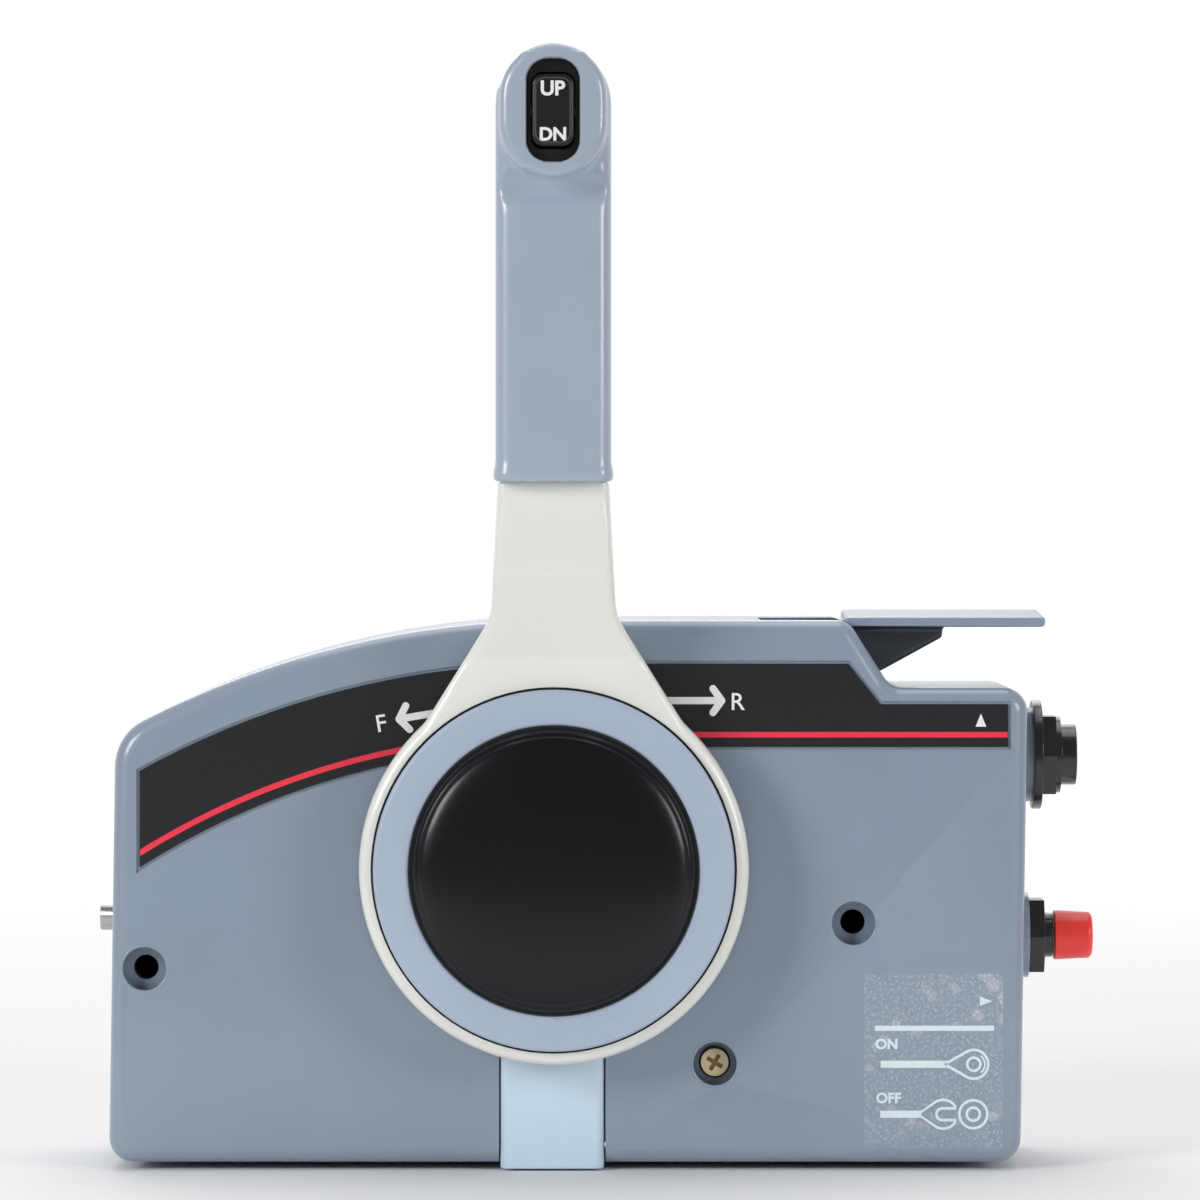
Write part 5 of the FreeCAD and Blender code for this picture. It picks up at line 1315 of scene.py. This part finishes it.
@dataclass
class FilmLabel(Assembly):
    """Clear film stuck on the lower right corner, with plain switch marks.

    Attributes:
        words: Each word with half its width, and its distance below the film's top.
        pointer: Tip of the pointer, from the film's upper left corner to the right and down.
        pointer_size: Length and half width of the pointer.
        rule: Ends of the rule from the film's left edge.
        rule_drop: Distance of the rule below the film's top.
        bow: Radius of a clip's bow.
        post: Radius of the post that a clip grips.
        collar: Radius of the post's collar, which shows where the clip is off.
        closed_drop: Distance of the closed clip below the film's top.
        open_drop: Distance of the open clip below it.
        closed_bow: Centre of the closed clip's bow from the film's left edge.
        open_bow: Centre of the open clip's bow from there.
        loose_post: Centre of the free post from there.
        jaw: Angle at which the open clip's jaws end, in degrees.
        mouth: Radius of the open clip's throat.
    """

    left: float = 68.8 * MM
    right: float = 99.7 * MM
    low: float = -62.6 * MM
    high: float = -23.9 * MM
    thick: float = 0.08 * MM
    glue: float = 0.01 * MM
    corner: float = 0.4 * MM
    letter: float = 2.2 * MM
    bold: float = 0.12 * MM
    margin: float = 2.5 * MM
    words: tuple[tuple[str, float, float], ...] = (("ON", 2.5 * MM, 15.6 * MM), ("OFF", 3.0 * MM, 27.6 * MM))
    pointer: Point = (28.5 * MM, 6.1 * MM)
    pointer_size: Point = (2.8 * MM, 1.1 * MM)
    rule: Point = (2.4 * MM, 28.9 * MM)
    rule_drop: float = 12.1 * MM
    rule_wide: float = 1.15 * MM
    cord: float = 1.6 * MM
    line: float = 0.6 * MM
    bow: float = 3.2 * MM
    post: float = 1.75 * MM
    collar: float = 3.4 * MM
    closed_drop: float = 20.1 * MM
    open_drop: float = 31.2 * MM
    closed_bow: float = 24.4 * MM
    open_bow: float = 17.6 * MM
    loose_post: float = 24.3 * MM
    jaw: float = 30.0
    mouth: float = 1.3 * MM

    def build(self) -> None:
        """Stick the film on and print the marks."""
        depth = -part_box("front_housing")[0][1]
        centre = ((self.left + self.right) / 2, (self.low + self.high) / 2)
        half_x, half_z = (self.right - self.left) / 2, (self.high - self.low) / 2
        outline = rounded(half_x, half_z, self.corner, centre)
        film = Form.slab(outline, depth + self.glue, depth + self.thick)
        self.keep(film.finished("clear_film_label"), Palette.FILM, Slot.HOUSING)
        self.print_marks(depth + self.thick)

    def print_marks(self, depth: float) -> None:
        """Pointer, rule, and ON and OFF, each with a cord's clip and the ring that it grips.

        Args:
            depth: Depth of the film's face.
        """
        left, top = self.left, self.high
        tip = (left + self.pointer[0], top - self.pointer[1])
        long, half = self.pointer_size
        marks = Letter.patch([(tip[0] - long, tip[1] - half), tip, (tip[0] - long, tip[1] + half)], depth)
        rule = [(left + reach, top - self.rule_drop) for reach in self.rule]
        marks.joined(Letter.ribbon(rule, self.rule_wide, depth))
        for word, half, drop in self.words:
            centre = (left + self.margin + half, top - drop)
            marks.joined(Letter.words(word, self.letter, centre, depth, self.bold))
        self.draw_closed_clip(marks, top - self.closed_drop, depth)
        self.draw_open_clip(marks, top - self.open_drop, depth)
        self.keep(marks.finished("pale_label_marks"), Palette.LABEL_INK, Slot.HOUSING)

    def draw_cord(self, marks: Form, start: float, bow: Point, reach: float,
                  depth: float) -> tuple[Point, float]:
        """Draw the cord behind a clip.

        Args:
            marks: Ink that the drawing joins.
            start: X of the cord's free end.
            bow: Centre of the clip's bow.
            reach: Distance from the clip's tail to that centre.
            depth: Depth of the face under the ink.

        Returns:
            The clip's tail, and the angle up to which the bow turns on each side, in degrees.
        """
        tail = (bow[0] - reach, bow[1])
        cord = [(start, bow[1]), (tail[0] + self.cord / 2, bow[1])]
        marks.joined(Letter.ribbon(cord, self.cord, depth))
        return tail, 180.0 - math.degrees(math.acos(self.bow / (bow[0] - tail[0])))

    def draw_closed_clip(self, marks: Form, level: float, depth: float) -> None:
        """Cord whose clip holds the ring.

        Args:
            marks: Ink that the drawing joins.
            level: Height of the cord.
            depth: Depth of the face under the ink.
        """
        bow = (self.left + self.closed_bow, level)
        tail, turn = self.draw_cord(marks, start=self.left + 3.7 * MM, bow=bow, reach=6.4 * MM, depth=depth)
        clip = [tail] + arc(bow, self.bow, -turn, turn, 36) + [tail]
        marks.joined(Letter.ribbon(clip, self.line, depth, 1))
        marks.joined(Letter.ring(bow, self.post, self.line, depth))
        shine = arc(bow, radius=2.45 * MM, start=-50, end=50)
        marks.joined(Letter.ribbon(shine, 0.4 * MM, depth, 2))

    def draw_open_clip(self, marks: Form, level: float, depth: float) -> None:
        """Cord whose clip has let go of the ring.

        Args:
            marks: Ink that the drawing joins.
            level: Height of the cord.
            depth: Depth of the face under the ink.
        """
        bow = (self.left + self.open_bow, level)
        tail, turn = self.draw_cord(marks, start=self.left + 3.6 * MM, bow=bow, reach=5.6 * MM, depth=depth)
        outer = arc(bow, self.bow, self.jaw, turn, 18) + [tail] + arc(bow, self.bow, -turn, -self.jaw, 18)
        lip = bow[0] + 2.9 * MM
        throat = arc((bow[0] - 0.2 * MM, level), self.mouth, 90, 270, 14)
        inner = [(lip, level + self.mouth)] + throat + [(lip, level - self.mouth)]
        marks.joined(Letter.ribbon(outer, self.line, depth, 1))
        marks.joined(Letter.ribbon(inner, self.line, depth, 2))
        for radius in (self.collar, self.post):
            marks.joined(Letter.ring((self.left + self.loose_post, level), radius, self.line, depth))


@dataclass
class Lever(Assembly):
    """Cast lever with its ring and domed cap."""

    body: Body = Body.LEVER
    cap_shoulder: float = 2.6 * MM
    cap_dome: float = 3.0 * MM
    grain: float = 0.65 * MM
    softening: int = 14
    fold_softening: int = 120
    fold_reach: float = 34 * MM
    crisp_end: float = 2.5 * MM
    gap: float = 0.55 * MM
    # Height of the outer ring of painted shadow.
    shadow_ring: float = 0.1 * MM
    axis: Point = (0.0, 0.0)

    def build(self) -> None:
        """Shape the casting and what sits on its hub."""
        self.cast_lever()
        self.smooth_copy("hub_ring", "hub_trim_ring", Palette.RING, Slot.RING, 0.25 * MM)
        self.turn_cap()
        self.lay_shadow_rings()

    def cast_lever(self) -> None:
        """Casting with soft edges, whose face rises from the hub to the arm without a fold."""
        hub = radius_of(*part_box("control_lever"))
        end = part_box("grip_front")[0][2] - self.crisp_end
        form = Form.skin(self.grain, "control_lever")
        form.softened(self.softening, lambda vertex: vertex.co.z < end)
        form.softened(
            self.fold_softening,
            lambda vertex: hub * 0.9 < vertex.co.z < hub + self.fold_reach and vertex.normal.y < -0.93,
        )
        self.keep(form.finished("cast_lever", 60), Palette.LEVER, Slot.LEVER, ("control_lever",))

    def lay_shadow_rings(self) -> None:
        """Black rings of painted shadow that show as thin lines round the ring and the cap."""
        low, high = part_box("hub_ring")
        base, thick = -high[1], high[1] - low[1]
        outer, inner = radius_of(low, high), radius_of(*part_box("hub_cap"))
        # Painted shadow: black rings under the trim ring's edges stand for the shade in the gaps round it and
        # round the cap.
        shadow_rings = Form()
        for radius, rise in ((outer, self.shadow_ring), (inner, thick - self.shadow_ring)):
            shadow_rings.joined(Form.washer(radius - 1 * MM, radius + self.gap, rise, self.axis, base))
        self.keep(shadow_rings.finished("hub_seats"), Palette.PAINTED_SHADOW, Slot.BLACK)

    def turn_cap(self) -> None:
        """Domed cap with a rounded shoulder, in the place of the plain one."""
        low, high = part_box("hub_cap")
        radius = radius_of(low, high)
        base, top = -high[1], -low[1]
        shoulder = self.cap_shoulder
        rim = top - self.cap_dome - base
        side = arc((radius - shoulder, rim - shoulder), shoulder, 0, 72, 8)
        inner = side[-1]
        dome = [
            (inner[0] * math.cos(step), inner[1] + (top - base - inner[1]) * math.sin(step))
            for step in (math.pi / 2 * number / 24 for number in range(1, 25))
        ]
        dome[-1] = (0.0, top - base)
        profile = [(0.0, 0.0), (radius, 0.0)] + side + dome
        cap = Form.turned(profile, self.axis, base, 128).finished("hub_gloss_cap", 60)
        self.keep(cap, Palette.CAP, Slot.CAP, ("hub_cap",))


@dataclass
class Grip(Assembly):
    """Moulded grip whose switch head flows out of it through a hollow throat.

    Attributes:
        crisp_room: Width round the switch's opening where edges stay crisp.
        parting: Width of the slit between the two shells.
        margin: Distance of the rocker's border from its edge.
        words: Each word on the rocker with its height, and its place above the middle.
    """

    body: Body = Body.LEVER
    grain: float = 0.5 * MM
    softening: int = 16
    crisp_room: float = 1.6 * MM
    parting: float = 0.22 * MM
    margin: float = 0.75 * MM
    border_corner: float = 2.1 * MM
    border_wide: float = 0.28 * MM
    border_rise: float = 0.12 * MM
    border_sunk: float = 0.02 * MM
    words: tuple[tuple[str, float, float], ...] = (("UP", 3.05 * MM, 4.7 * MM), ("DN", 2.75 * MM, -5.2 * MM))
    bold: float = 0.14 * MM

    def build(self) -> None:
        """Shape the two shells and dress the switch and the trigger."""
        self.shape_shells()
        self.smooth_copy("trim_switch_body", "rocker_bezel", Palette.ROCKER, Slot.BLACK, 0.3 * MM)
        self.shape_rocker()
        self.smooth_copy("neutral_lock_trigger", "lock_trigger", Palette.TRIGGER, Slot.BLACK, 0.3 * MM,
                         Body.TRIGGER)

    def shape_shells(self) -> None:
        """Melt the shells' steps into soft transitions, and part them again along their joint."""
        low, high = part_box("grip_front")
        hole_low, hole_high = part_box("trim_switch_body")
        left, bottom = hole_low[0] - self.crisp_room, hole_low[2] - self.crisp_room
        right, back, top = (number + self.crisp_room for number in hole_high)

        def melts(vertex: BMVert) -> bool:
            """Tell whether a point lies outside the switch's opening, whose edges stay crisp."""
            x, y, z = vertex.co
            return not (left < x < right and bottom < z < top) or y > back

        form = Form.skin(self.grain, "grip_front", "grip_rear").softened(self.softening, melts)
        shells = form.finished("grip_shells", 50)
        joint = -high[1]
        outline = rounded(high[0] - low[0], high[2] - low[2], 1 * MM, centre_of(low, high))
        saw = Form.slab(outline, joint - self.parting / 2, joint + self.parting / 2).finished("joint_saw")
        carved(shells, "BOOLEAN", operation="DIFFERENCE", object=saw, solver="MANIFOLD")
        discard(saw)
        shells.data.shade_smooth()
        shells.data.set_sharp_from_angle(angle=math.radians(45))
        self.keep(shells, Palette.GRIP, Slot.GRIP, ("grip_front", "grip_rear"))

    def shape_rocker(self) -> None:
        """Rocker cap with its raised border, a lighter grey as a painted highlight, and its two words."""
        self.smooth_copy("trim_rocker", "rocker_cap", Palette.ROCKER, Slot.BLACK, 0.5 * MM, Body.ROCKER)
        low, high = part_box("trim_rocker")
        depth = -low[1]
        centre = centre_of(low, high)
        half_x, half_z = (high[0] - low[0]) / 2 - self.margin, (high[2] - low[2]) / 2 - self.margin
        border = Form()
        loops = []
        for inset in (0.0, self.border_wide):
            points = rounded(half_x - inset, half_z - inset, self.border_corner - inset, centre)
            verts = [border.mesh.verts.new((x, -depth - self.border_rise, z)) for x, z in points]
            loops += [border.mesh.edges.new(pair) for pair in zip(verts, verts[1:] + verts[:1])]
        bmesh.ops.bridge_loops(border.mesh, edges=loops)
        wall = bmesh.ops.extrude_face_region(border.mesh, geom=border.mesh.faces[:])["geom"]
        verts = [item for item in wall if isinstance(item, BMVert)]
        bmesh.ops.translate(border.mesh, verts=verts, vec=(0.0, self.border_rise + self.border_sunk, 0.0))
        # Painted highlight: the raised border is lighter grey than the black cap.
        raised = border.outward().finished("rocker_border")
        self.keep(raised, Palette.ROCKER_BORDER_HIGHLIGHT, Slot.BLACK, body=Body.ROCKER)
        words = Form()
        for word, height, rise in self.words:
            words.joined(Letter.words(word, height, (centre[0], centre[1] + rise), depth, self.bold))
        self.keep(words.finished("rocker_words"), Palette.WHITE_INK, Slot.BLACK, body=Body.ROCKER)


@dataclass
class FastIdle(Assembly):
    """Thumb lever over the slanted corner."""

    body: Body = Body.FAST_IDLE
    grain: float = 0.4 * MM
    softening: int = 8
    thick: float = 3.4 * MM
    fall: float = 1.3 * MM

    def build(self) -> None:
        """Thumb lever whose plate thins towards the front, and its pin."""
        low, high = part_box("fast_idle_lever")
        form = Form.skin(self.grain, "fast_idle_lever")
        slope = self.fall / (high[1] - low[1])
        tilt = Matrix.Identity(4)
        tilt[2][1] = slope
        tilt[2][3] = -slope * high[1]
        upper = [vertex for vertex in form.mesh.verts if vertex.co.z > high[2] - self.thick / 2]
        bmesh.ops.transform(form.mesh, matrix=tilt, verts=upper)
        piece = form.softened(self.softening).finished("thumb_lever", 60)
        self.keep(piece, Palette.IDLE, Slot.IDLE, ("fast_idle_lever",))
        self.dress(Palette.STEEL, "fast_idle_shaft")


@dataclass
class SideSwitches(Assembly):
    """Key switch and stop switch on the right side, and the friction screw on the left."""

    def build(self) -> None:
        """Dress the switches' shown pieces."""
        for node, name in (
            ("ignition_body", "key_barrel"), ("ignition_washer", "key_washer"), ("ignition_nut", "key_nut"),
            ("stop_switch_body", "stop_neck"), ("stop_switch_nut", "stop_nut"),
        ):
            self.smooth_copy(node, name, Palette.BLACK_METAL, Slot.BLACK_METAL, 0.25 * MM)
        self.smooth_copy("ignition_rotor", "key_rotor", Palette.STEEL, Slot.STEEL, 0.15 * MM, Body.KEY_ROTOR)
        self.smooth_copy("stop_knob", "red_stop_cap", Palette.RED, Slot.RED, 0.4 * MM, Body.STOP_BUTTON)
        self.smooth_copy("friction_screw", "bright_friction_screw", Palette.DRAWN_STEEL, Slot.STEEL, 0.2 * MM,
                         Body.DRAG_SCREW)


@dataclass(frozen=True)
class Lamp:
    """Soft square lamp that looks at the box, with the length of its sides and its watts."""

    name: str
    place: Triple
    size: float
    power: float

    def hang(self, target: Vector) -> None:
        """Hang the lamp.

        Args:
            target: Where it looks.
        """
        data = bpy.data.lights.new(self.name, "AREA")
        data.size = self.size
        data.energy = self.power
        lamp = bpy.data.objects.new(self.name, data)
        lamp.location = self.place
        lamp.rotation_euler = (target - Vector(self.place)).to_track_quat("-Z", "Y").to_euler()
        bpy.context.scene.collection.objects.link(lamp)


@dataclass
class Studio:
    """Pale floor, soft lamps, and a camera straight in front.

    Attributes:
        dim_side: Strength of the sky in front of the box.
        bright_side: Strength of the sky behind it.
        dim_to: Where the sky starts to brighten, from -1 in front to 1 behind.
        bright_from: Where it is brightest.
    """

    face_depth: float = 56 * MM
    distance: float = 1.4
    frame_wide: float = 1200 / 4.5 * MM
    frame_centre: Point = (10.15 * MM, 59.16 * MM)
    eye_level: float = 80 * MM
    floor_level: float = -67.7 * MM
    floor_radius: float = 0.9
    floor_colour: Colour = (0.92, 0.92, 0.92)
    sensor: float = 36.0
    dim_side: float = 0.20
    bright_side: float = 0.80
    dim_to: float = -0.3
    bright_from: float = 0.7
    target: Triple = (0.0, -0.05, 0.06)
    lamps: tuple[Lamp, ...] = (
        Lamp("key_lamp", (-1.0, -1.05, 0.50), 0.5, 9.4),
        Lamp("fill_lamp", (1.05, -0.95, 0.35), 0.45, 5.4),
        Lamp("top_lamp", (0.0, 0.1, 1.2), 0.9, 5.0),
        Lamp("back_lamp", (-0.2, 1.2, 0.8), 0.9, 4.5),
    )

    def build(self) -> None:
        """Set up the whole studio."""
        self.place_camera()
        self.lay_floor()
        self.light_world()
        for lamp in self.lamps:
            lamp.hang(Vector(self.target))
        bpy.context.scene.view_settings.view_transform = "Standard"

    def place_camera(self) -> None:
        """Camera square to the front, shifted so that the picture's centre keeps its level."""
        data = bpy.data.cameras.new("camera")
        data.sensor_width = self.sensor
        data.lens = self.sensor * self.distance / self.frame_wide
        data.shift_y = (self.frame_centre[1] - self.eye_level) / self.frame_wide
        camera = bpy.data.objects.new("camera", data)
        camera.location = (self.frame_centre[0], -self.face_depth - self.distance, self.eye_level)
        camera.rotation_euler = (math.radians(90), 0.0, 0.0)
        bpy.context.scene.collection.objects.link(camera)
        bpy.context.scene.camera = camera

    def lay_floor(self) -> None:
        """Round pale floor that keeps the box's shadow."""
        form = Form()
        place = Matrix.Translation((0.0, 0.0, self.floor_level))
        bmesh.ops.create_circle(
            form.mesh, cap_ends=True, segments=64, radius=self.floor_radius, matrix=place,
        )
        floor = form.finished("floor")
        shader = Shader("pale_floor")
        across, depth, _ = shader.along()
        fading = ((self.floor_radius - across.hypot(depth)) / (self.floor_radius * 0.7)).clamped()
        floor.data.materials.append(shader.finish(Base_Color=self.floor_colour, Roughness=0.9, Alpha=fading))

    def light_world(self) -> None:
        """Soft light from all round, and white where the camera and glass look past the box."""
        world = bpy.data.worlds.new("studio")
        bpy.context.scene.world = world
        world.use_nodes = True
        world.node_tree.nodes.clear()
        sky = Nodes(world.node_tree)
        rays = sky.node("LightPath").outputs
        seen = sky.node(
            "Math", {"operation": "MAXIMUM"}, {0: rays["Is Camera Ray"], 1: rays["Is Transmission Ray"]},
        )
        way = sky.node("SeparateXYZ", inputs={0: sky.node("TexCoord").outputs["Generated"]})
        strength = sky.node("MapRange", inputs={
            "Value": way.outputs["Y"], "From Min": self.dim_to, "From Max": self.bright_from,
            "To Min": self.dim_side, "To Max": self.bright_side,
        })
        paper = (1.0, 1.0, 1.0)
        soft = sky.node("Background", inputs={"Color": paper, "Strength": strength.outputs[0]})
        white = sky.node("Background", inputs={"Color": paper, "Strength": 1.0})
        mixed = sky.node("MixShader", inputs={0: seen.outputs[0], 1: soft.outputs[0], 2: white.outputs[0]})
        sky.node("OutputWorld", inputs={0: mixed.outputs[0]})


def clear_startup() -> None:
    """Remove what Blender starts with, and keep the frame."""
    kept = set(frame["nodes"].values()) | set(frame["bodies"].values())
    for item in [item for item in bpy.data.objects if item not in kept]:
        bpy.data.objects.remove(item)


def main() -> None:
    """Build the control box and its studio."""
    logging.basicConfig(level=logging.INFO, format="%(name)s: %(message)s")
    clear_startup()
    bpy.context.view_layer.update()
    for kind in (Mechanism, Housing, LegendBand, FilmLabel, Lever, Grip, FastIdle, SideSwitches, Studio):
        kind().build()


if __name__ == "__main__":
    main()
